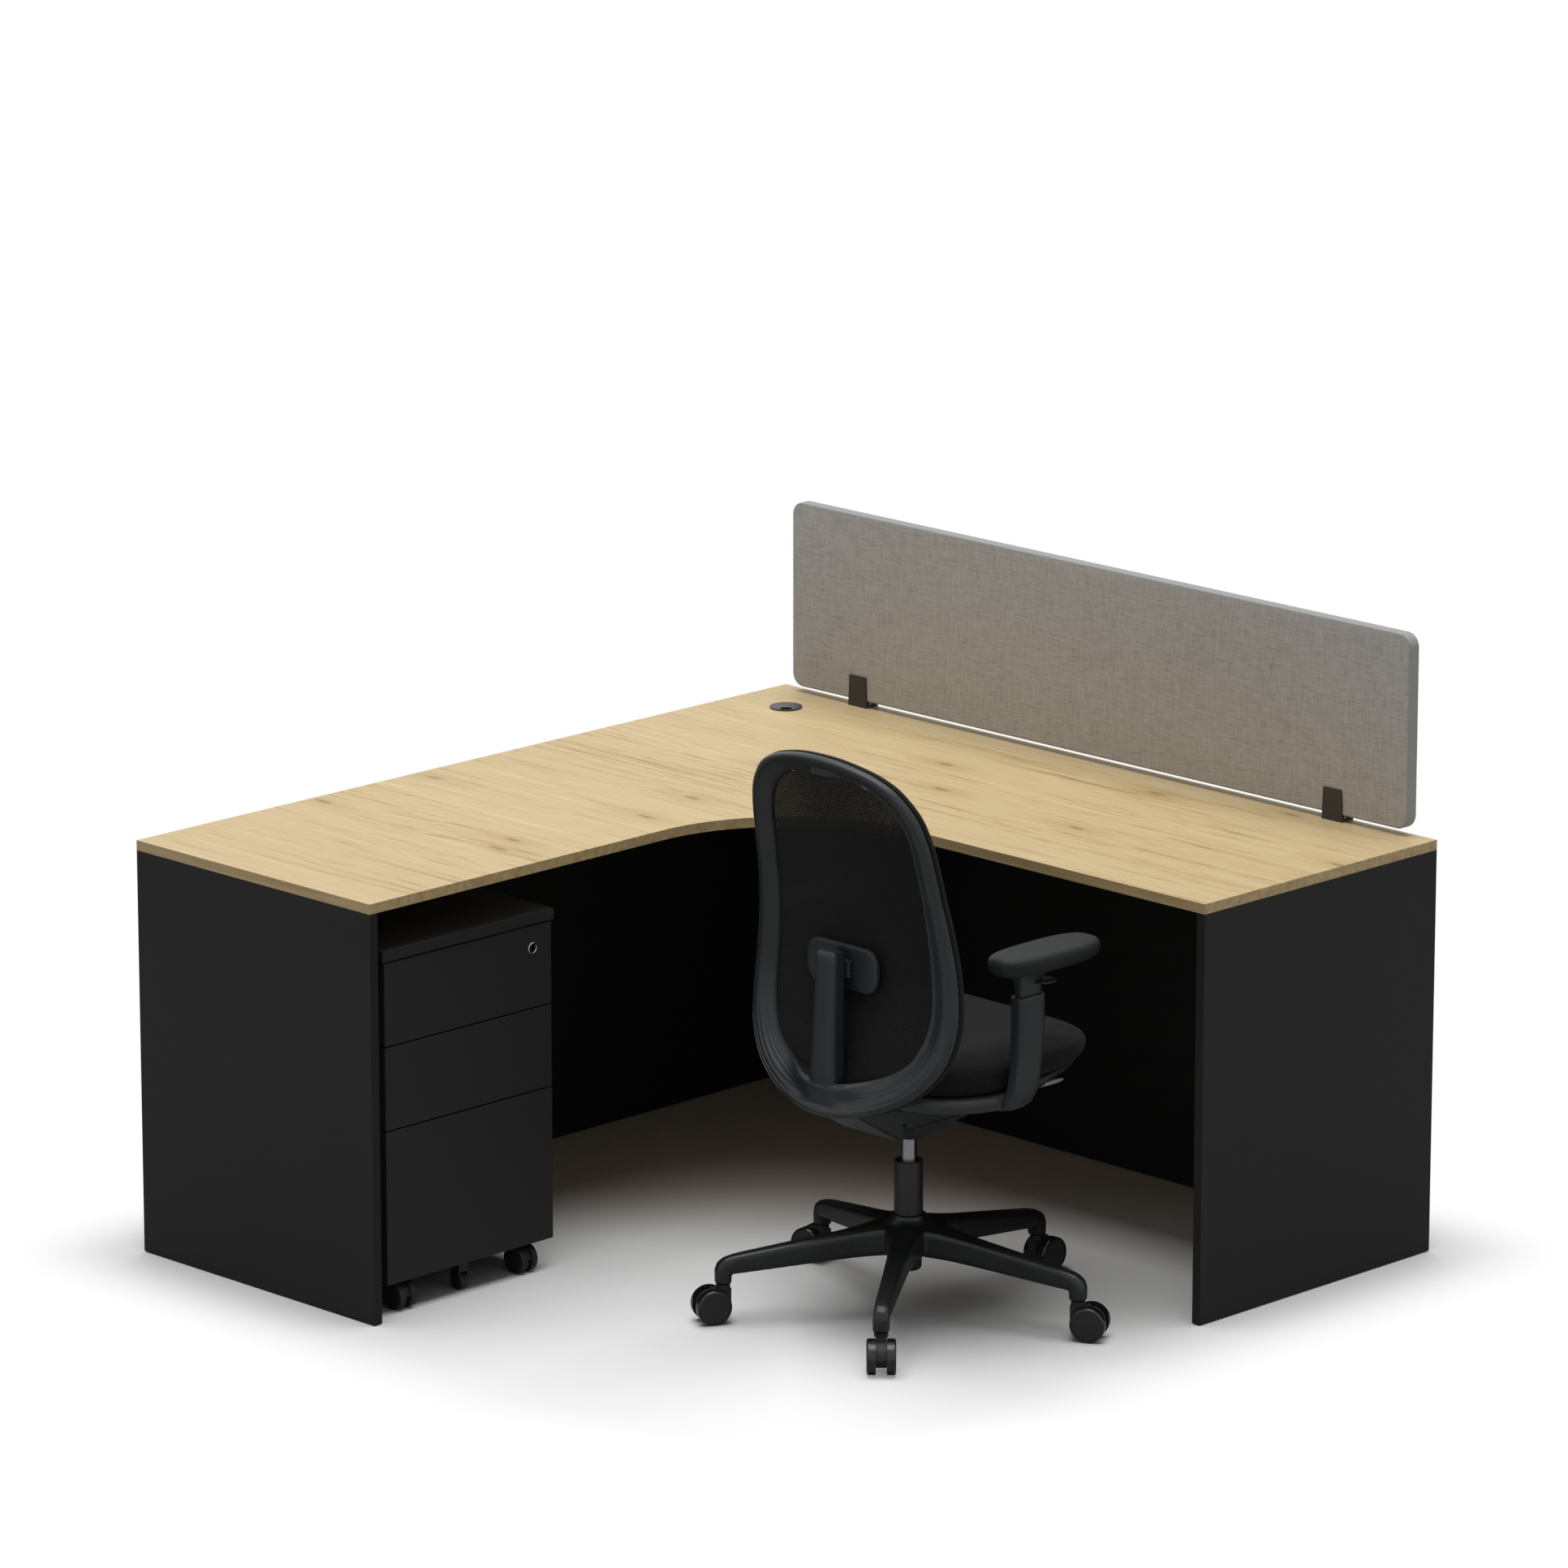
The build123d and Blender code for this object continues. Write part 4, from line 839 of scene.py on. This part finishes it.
class WORKSTATION_OT_seat(Operator):
    """Build the seat's cushion, its shell and the lever, and finish the housing"""

    bl_idname = "workstation.seat"
    bl_label = "Seat"

    def execute(self, context):
        dress("tilt_mechanism")
        self.outline = rounded_outline(
            (-SEAT_HALF, SEAT_REAR), (SEAT_HALF, SEAT_FRONT), [140, 140, 95, 95], segments=14
        )
        self.make_cushion()
        self.make_shell()
        self.make_lever()
        return {"FINISHED"}

    def lift(self, y):
        """How much higher the seat's underside lies towards its nose."""
        return NOSE_LIFT * max(0.0, y - NOSE_START) / (SEAT_FRONT - NOSE_START)

    def stacked(self, levels, place):
        """Sections over the seat's outline: each level's points, as a function places them."""
        return [[place(point, *level) for point in self.outline] for level in levels]

    def cushion_point(self, point, level, share):
        """The cushion's point a share of its height up."""
        x, y = point.x * share, point.y * share
        foot = CUSHION_FOOT + self.lift(y)
        crown = 3.0 * math.exp(-(((y - 205) / 60) ** 2)) - 5 * (x / SEAT_HALF) ** 2
        crest = CUSHION_CREST + crown - 3 * (level == 1.0)
        return chair_point(x, y, foot + (crest - foot) * level)

    def shell_point(self, point, share, rise):
        """The shell's point a rise over its foot."""
        front = smooth((point.y - 20) / 90)
        spread = share * (1.035 - 0.115 * front)
        x, y = point.x * spread, point.y * spread
        return chair_point(x, y, SHELL_FOOT + 12 * front + self.lift(y) + rise * (1 - 0.47 * front))

    def make_cushion(self):
        """The crowned cushion, swelled as padded cloth."""
        # Share of the height and share of the outline
        levels = [
            (0, 0.93), (0.05, 0.955), (0.14, 0.972), (0.3, 0.984), (0.5, 0.988), (0.66, 0.984),
            (0.78, 0.970), (0.87, 0.945), (0.935, 0.90), (0.975, 0.83), (0.995, 0.72), (1, 0.45),
        ]
        sections = self.stacked(levels, self.cushion_point)
        cushion = skinned("cushion", "seat_fabric", "seat", sections, replaces=["seat_cushion"])
        puff(
            cushion, cap=4 * MM,
            is_held=lambda co: co.z / MM < CUSHION_HELD + self.lift((co.y - CHAIR.y) / MM),
        )
        add_modifier(cushion, "SUBSURF", levels=1, render_levels=1)

    def make_shell(self):
        """The moulded shell: a proud rim round the back half that draws in under the nose."""
        # Share of the outline and height over the foot
        levels = [
            (0.55, 0), (0.86, 0), (0.975, 0.6), (0.992, 2.2), (1, 6), (1.002, 14),
            (0.998, 20), (0.985, 24.2), (0.965, 25.4), (0.90, 25), (0.60, 25),
        ]
        sections = self.stacked(levels, self.shell_point)
        skinned("seat_shell", "chair_plastic", "seat", sections, replaces=["seat_pan"])

    def make_lever(self):
        """The height lever: a rod that broadens into an upswept paddle."""
        # Place, width and thickness
        sizes = [
            (50, 95, 421, 9, 8), (150, 95, 421, 9, 8), (186, 97, 422, 11, 8), (198, 103, 424.5, 24, 8),
            (209, 109, 428.5, 42, 8.5), (220, 113, 433, 54, 8.5), (228, 114, 436, 54, 8),
            (233, 115, 438, 45, 7), (236, 115, 439, 34, 4.5),
        ]
        sections = []
        for x, y, z, wide, thick in sizes:
            loop = soft_rectangle(wide, thick, power=2.6, count=28)
            sections.append([chair_point(x, y + p.x, z + p.y) for p in loop])
        skinned("lever_paddle", "lever_plastic", "height_lever", sections, replaces=["height_lever"])


# Half of the ring's outer line and of its window: sideways and height
OUTLINE = [
    (0, 398), (75, 407), (139, 430), (185, 460), (218, 500), (233, 540), (238, 587), (234.5, 640),
    (230, 680), (224, 720), (218.6, 760), (213, 800), (208.6, 853), (203, 900), (190, 945), (165, 980),
    (140, 1000), (104, 1015), (52, 1026), (0, 1029),
]
WINDOW = [
    (0, 457), (82, 470), (143, 500), (171, 540), (182, 587), (181, 640), (178, 680), (175, 720),
    (172, 760), (170.5, 800), (166, 853), (161, 900), (141, 945), (97, 981), (48, 992), (0, 994),
]
# The back's middle line, seen from the side: forward and height
BACK_SIDE = [
    (-208, 385), (-196, 440), (-180, 500), (-165, 565), (-157, 640), (-160, 720), (-171, 800),
    (-190, 900), (-214, 1000), (-224, 1045),
]
# Points along the ring, and steps across its rear and its front
RING_POINTS = 400
REAR_STEPS = 64
FRONT_STEPS = 12
# The steps moulded in the ring's lower sides
STAIR_START = 0.10
STAIR_END = 0.655
STAIRS = 7.2
TREAD = 0.8
STAIR_DEPTH = 1.7


class WORKSTATION_OT_back(Operator):
    """Build the back's moulding and the lumbar plate, and finish the mesh"""

    bl_idname = "workstation.back"
    bl_label = "Back"

    def execute(self, context):
        dress("back_mesh", "recline_bar")
        self.bend = np.polyfit([z for y, z in BACK_SIDE], [y for y, z in BACK_SIDE], 5)
        self.outer, self.inner = (
            spread_points(half + [(-x, z) for x, z in half[-2:0:-1]], RING_POINTS)
            for half in (OUTLINE, WINDOW)
        )
        self.make_hem()
        bm = bmesh.new()
        self.add_rim(bm)
        self.add_spine(bm)
        to_piece(bm, "back_moulding", "chair_plastic", "back", sharp=40.0, replaces=["back_frame"])
        self.make_lumbar()
        return {"FINISHED"}

    def surface(self, x, z):
        """How far forward the middle of the back lies, in millimetres."""
        return float(np.polyval(self.bend, z)) + 34 * (x / 238) ** 2

    def ring_point(self, a, b, u, depth):
        """A point a share u of the way from the ring's outer line to its window, and so far in front."""
        x, z = a.lerp(b, u)
        return chair_point(x, self.surface(x, z) + depth, z)

    def add_rim(self, bm):
        """The ring: rounded outside, hollowed towards its window, ridged at its foot, stepped beside it."""
        rear = [0.5 - 0.5 * math.cos(math.pi * k / REAR_STEPS) for k in range(REAR_STEPS + 1)]
        front = [1.0 - k / FRONT_STEPS for k in range(1, FRONT_STEPS)]
        sections = []
        for a, b in zip(self.outer, self.inner):
            low = (a.y + b.y) / 2
            fade = smooth((600 - low) / 110) * smooth((abs(a.x) - 40) / 90)
            belly = 11.0 * math.exp(-(((low - 428) / 42) ** 2)) * math.exp(-((a.x / 120) ** 2))
            foot = smooth((600 - low) / 140) * (1 - smooth((abs(a.x) - 50) / 100))
            section = []
            for u in rear:
                edge = math.sqrt(1.0 - max(0.0, 1.0 - u / 0.2) ** 2.4)
                plain = (13 + belly) * edge - (19 + belly) * smooth((u - 0.28) / 0.68)
                ridged = (11 + belly) * edge - 8 * smooth((u - 0.16) / 0.3)
                ridged += (7 + 0.4 * belly) * smooth((u - 0.44) / 0.44) - 5 * smooth((u - 0.88) / 0.12)
                depth = plain * (1 - foot) + ridged * foot
                if STAIR_START < u < STAIR_END:
                    stair = ((u - STAIR_START) * STAIRS) % 1.0
                    riser = stair / TREAD if stair < TREAD else (1.0 - stair) / (1.0 - TREAD)
                    depth -= (1 - riser) * STAIR_DEPTH * fade
                section.append(self.ring_point(a, b, u, -self.with_foot(a.lerp(b, u), depth)))
            for u in front:
                section.append(self.ring_point(a, b, u, 4.0 + 4.0 * smooth((u - 0.5) / 0.5)))
            sections.append(section)
        skin(bm, sections, joined=True)

    def with_foot(self, point, depth):
        """The ring's depth at a point, deeper where the spine's foot runs into it."""
        x, z = point
        foot = self.surface(x, z) + 218 - 1.2 * smooth((z - 445) / 12)
        near = 1 - smooth((abs(x) - 18) / (16 + 0.9 * max(0.0, 457 - z)))
        return depth + max(0.0, foot - depth) * near

    def make_hem(self):
        """The knit's hem, which wraps the front of the ring and shows as a dark band round it."""
        # Share of the way to the window and height in front of the ring's surface
        line = [
            (0.03, 3.4), (-0.012, 4.2), (-0.034, 6.4), (-0.038, 9), (-0.028, 11.6), (0, 13.4),
            (0.08, 14.4), (0.4, 14.6), (0.8, 13.6), (1, 11.6), (1.06, 9.6), (1.06, 8.4), (0.9, 7.6),
            (0.5, 5),
        ]
        sections = [
            [self.ring_point(a, b, u, depth) for u, depth in line] for a, b in zip(self.outer, self.inner)
        ]
        skinned("mesh_hem", "hem_knit", "back", sections, joined=True, slot="back_mesh")

    def add_spine(self, bm):
        """The upright that rises from the shell, flared at its foot and domed at its head."""
        # Height, width, depth and forward
        sizes = [
            (438, 50, 28, -198), (450, 56, 34, -199), (457, 60, 36, -199), (464, 60, 37.4, -199),
            (474, 58.5, 38, -199), (486, 57, 38, -198.6), (505, 55, 37.5, -198), (545, 52.5, 36.5, -196.6),
            (600, 50, 34.5, -194.8), (650, 48, 33, -193.2), (668, 47, 32, -192.6), (676, 45.5, 31, -192.3),
            (681.5, 42, 28.5, -192.2), (684.8, 36, 23, -192), (686, 26, 14, -192),
        ]
        skin(bm, [level_loop(0, y, z, width, depth, 4.5, 48) for z, width, depth, y in sizes])

    def make_lumbar(self):
        """The plate behind the mesh, with a raised border and a ribbed slider on the spine."""
        w, h = LUMBAR_HALF
        outline = rounded_outline((-w, -h), (w, h), [28] * 4, segments=10)
        # Forward, and how far in from the outline
        levels = [
            (-157.5, 5), (-155.9, 1.6), (-157, 0.2), (-162.5, 0), (-164.6, 1), (-165.4, 3.2),
            (-164.9, 8), (-164.7, 11),
        ]
        plate = []
        for y, inset in levels:
            kx, kz = 1 - inset / w, 1 - inset / h
            plate.append([chair_point(p.x * kx, y, LUMBAR_MIDDLE + p.y * kz) for p in outline])
        ribs = []
        for k in range(13):
            width = 55 if k % 2 else 51
            ribs.append(level_loop(0, -170.6, 637 + 29 * k / 12, width, 11.2, 7, 32))
        skinned("lumbar_plate", "chair_plastic", "lumbar", plate, ribs, replaces=["lumbar_pad"])


# A sleeve's sections: place, turn in degrees, width and thickness
SLEEVE = [
    (105, -2, 425.5, 90, 34, 14), (170, -4, 425.5, 90, 40, 17), (222, -6, 425.5, 90, 46, 20),
    (238, -6, 426.5, 80, 49, 23), (250, -5, 430.5, 60, 51, 26), (259, -3, 438.5, 38, 53, 28.5),
    (264, 0, 450, 16, 55, 30), (265, 3, 462, 4, 56, 31), (265, 7, 480, 0, 57.5, 31.5),
    (265, 11.5, 520, 0, 59.5, 32), (265, 13.6, 570, 0, 61.5, 32), (265, 13.6, 613, 0, 62.5, 32.5),
    (265, 13.6, 617.4, 0, 61.9, 31.9), (265, 13.6, 619, 0, 59.6, 29.6), (265, 13.6, 619, 0, 55, 25),
    (265, 13.6, 617, 0, 53, 23), (265, 13.6, 560, 0, 52.2, 22.2), (265, 13.6, 462, 0, 52, 22),
]
# A neck's sections: height, width and thickness
NECK = [
    (466, 51, 21), (470, 51.4, 21.4), (622, 51.4, 21.4), (632, 51.4, 21.4), (641, 53, 23), (648, 58, 28),
    (654, 65, 36), (659, 71, 43), (661.6, 73.5, 46),
]
# A pad's sections: height over its underside, and how far in from its outline
PAD = [
    (0, 26), (0.6, 18), (3.2, 10), (7.5, 4.6), (13, 1.4), (19, 0), (25, 0.3), (29.5, 1.8), (32.8, 4.6),
    (34.8, 8.5), (35.7, 13), (36, 19), (36, 30), (35.8, 41),
]


class WORKSTATION_OT_arms(Operator):
    """Build the arms: sleeves, necks with their paddles, and pads"""

    bl_idname = "workstation.arms"
    bl_label = "Arms"

    def execute(self, context):
        for side, sign in (("left", -1), ("right", 1)):
            self.make_sleeve(side, sign)
            self.make_neck(side, sign)
            self.make_pad(side)
        return {"FINISHED"}

    def make_sleeve(self, side, sign):
        """The root under the seat, the bend, and the upright sleeve with its open pocket."""
        sections = []
        for x, y, z, tilt, wide, thick in SLEEVE:
            tilt = math.radians(tilt)
            across = Vector((math.cos(tilt), 0, -math.sin(tilt)))
            loop = soft_rectangle(thick, wide, power=4.5, count=48)
            points = [Vector((x, y, z)) + across * p.x + Vector((0, p.y, 0)) for p in loop]
            sections.append([chair_point(sign * p.x, p.y, p.z) for p in points])
        skinned(f"{side}_sleeve", "chair_plastic", "seat", sections, replaces=[f"{side}_arm_bracket"])

    def make_neck(self, side, sign):
        """The post that slides in the sleeve, flared under the pad, with its oval release paddle."""
        post = [
            level_loop(sign * ARM_SIDE, ARM_MIDDLE, z, thick, wide, 4.5, 48) for z, wide, thick in NECK
        ]
        paddle = []
        for rise, share in ((-0.2, 0.80), (0.5, 0.95), (1.8, 1.0), (3.2, 0.96), (4.0, 0.82)):
            loop = soft_rectangle(42 * share, 54 * share, power=2.0, count=40)
            z = 637.5 + rise
            paddle.append([chair_point(sign * (271 + p.x), 43.5 + p.y, z - 0.05 * p.y) for p in loop])
        skinned(
            f"{side}_neck", "chair_plastic", f"{side}_arm", post, paddle, replaces=[f"{side}_arm_slider"]
        )

    def make_pad(self, side):
        """The soft pad with round ends."""
        foot = middle(f"{side}_arm_pad")
        foot.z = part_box(f"{side}_arm_pad")[0].z
        sections = []
        for height, inset in PAD:
            loop = soft_rectangle(PAD_WIDTH - 2 * inset, PAD_LENGTH - 2 * inset, power=2.9, count=72)
            sections.append([foot + Vector((p.x, p.y, height)) * MM for p in loop])
        pad = skinned(f"{side}_pad_skin", "pad_foam", f"{side}_pad", sections, replaces=[f"{side}_arm_pad"])
        add_modifier(pad, "SUBSURF", levels=1, render_levels=1)


# Stage


class WORKSTATION_OT_stage(Operator):
    """Set the floor, the light and the camera"""

    bl_idname = "workstation.stage"
    bl_label = "Stage"

    def execute(self, context):
        look = context.scene.stage_look
        self.make_floor(look)
        self.make_sky(context.scene, look)
        self.make_lamp(look)
        self.make_camera(look)
        context.scene.view_settings.view_transform = "Standard"
        return {"FINISHED"}

    def make_floor(self, look):
        """A pale floor with painted shade far under the desk, and pure white away from the object."""
        bm = bmesh.new()
        bmesh.ops.create_grid(bm, x_segments=1, y_segments=1, size=look.floor_size / 2)
        floor = put_in_scene("floor", to_mesh(bm, "floor"))
        paint = Paint("floor", Roughness=0.9, Specular_IOR_Level=0.0)
        seen = paint.node("ShaderNodeLightPath", {}, output="Is Camera Ray")
        x, y, _ = paint.axes(paint.place())
        half = look.desk_half
        beside, beyond = (x.size() - half).floored(), (y.size() - half).floored()
        away = (beside * beside + beyond * beyond) ** 0.5
        wing = 0.2
        before = (x + wing).least(wing - y)
        # Painted shade: the floor's colour darkens towards the desk's inner corner, and fades out towards
        # the open side and outside the desk's square
        out_of_painted_shade = ((x - y) * math.sqrt(0.5)).between(-0.42, -0.06)
        pale = (out_of_painted_shade + away.between(0.0, 0.01)).clamped()
        floor_with_painted_shade = paint.mix(pale, look.floor_deep, look.floor_seen)
        paint.wear(Base_Color=paint.mix(seen, look.floor_lit, floor_with_painted_shade))
        lift = (away.between(0.0, 0.24) + before.between(0.42, 0.9)).clamped()
        white = paint.node("ShaderNodeEmission", {}, (1.0, 1.0, 1.0), 1.0)
        shader = Field(paint, paint.shader.outputs[0])
        mixed = paint.node("ShaderNodeMixShader", {}, lift * seen, shader, white)
        paint.connect(paint.tree.nodes["Material Output"].inputs["Surface"], mixed)
        floor.data.materials.append(paint.material)

    def make_sky(self, scene, look):
        """All-round light that the camera and reflections see as plain white."""
        scene.world = bpy.data.worlds.new("sky")
        sky = Sky(scene.world)
        rays = ("Is Camera Ray", "Is Glossy Ray", "Is Transmission Ray")
        camera, glossy, through = (sky.node("ShaderNodeLightPath", {}, output=ray) for ray in rays)
        seen = (camera + glossy + through).clamped()
        strength = look.sky_strength + (1.0 - look.sky_strength) * seen
        background = sky.tree.nodes["Background"]
        sky.connect(background.inputs["Color"], (1.0, 1.0, 1.0))
        sky.connect(background.inputs["Strength"], strength)

    def make_lamp(self, look):
        """One broad soft lamp overhead."""
        light = bpy.data.lights.new("overhead", "AREA")
        light.energy = look.lamp_power
        light.size = look.lamp_size
        put_in_scene("overhead", light).location = (0.0, 0.0, look.lamp_height)

    def make_camera(self, look):
        """The camera at the photograph's viewing angle."""
        data = bpy.data.cameras.new("camera")
        data.lens = look.lens
        data.clip_end = 100.0
        camera = put_in_scene("camera", data)
        camera.location = look.eye
        a, e = look.azimuth, look.elevation
        ahead = Vector((-math.sin(a) * math.cos(e), math.cos(a) * math.cos(e), -math.sin(e)))
        camera.rotation_mode = "QUATERNION"
        camera.rotation_quaternion = ahead.to_track_quat("-Z", "Y")
        bpy.context.scene.camera = camera


# Panel and start


class WORKSTATION_PT_panel(Panel):
    """Lists the pieces of the workstation"""

    bl_label = "Workstation"
    bl_space_type = "VIEW_3D"
    bl_region_type = "UI"
    bl_category = "Workstation"

    def draw(self, context):
        for operator in OPERATORS:
            self.layout.operator(operator.bl_idname)
        for name in LOOKS:
            box = self.layout.box()
            look = getattr(context.scene, name)
            for key in look.__annotations__:
                box.prop(look, key)


OPERATORS = (
    WORKSTATION_OT_desk,
    WORKSTATION_OT_screen,
    WORKSTATION_OT_pedestal,
    WORKSTATION_OT_chair_base,
    WORKSTATION_OT_seat,
    WORKSTATION_OT_back,
    WORKSTATION_OT_arms,
    WORKSTATION_OT_stage,
)
LOOKS = {"desk_look": DeskLook, "screen_look": ScreenLook, "chair_look": ChairLook, "stage_look": StageLook}


def register():
    for cls in (*LOOKS.values(), *OPERATORS, WORKSTATION_PT_panel):
        bpy.utils.register_class(cls)
    for name, cls in LOOKS.items():
        setattr(bpy.types.Scene, name, PointerProperty(type=cls))


def unregister():
    for name in LOOKS:
        delattr(bpy.types.Scene, name)
    for cls in (WORKSTATION_PT_panel, *reversed(OPERATORS), *reversed(LOOKS.values())):
        bpy.utils.unregister_class(cls)


def main():
    register()
    for operator in OPERATORS:
        group, name = operator.bl_idname.split(".")
        getattr(getattr(bpy.ops, group), name)()


if __name__ == "__main__":
    main()
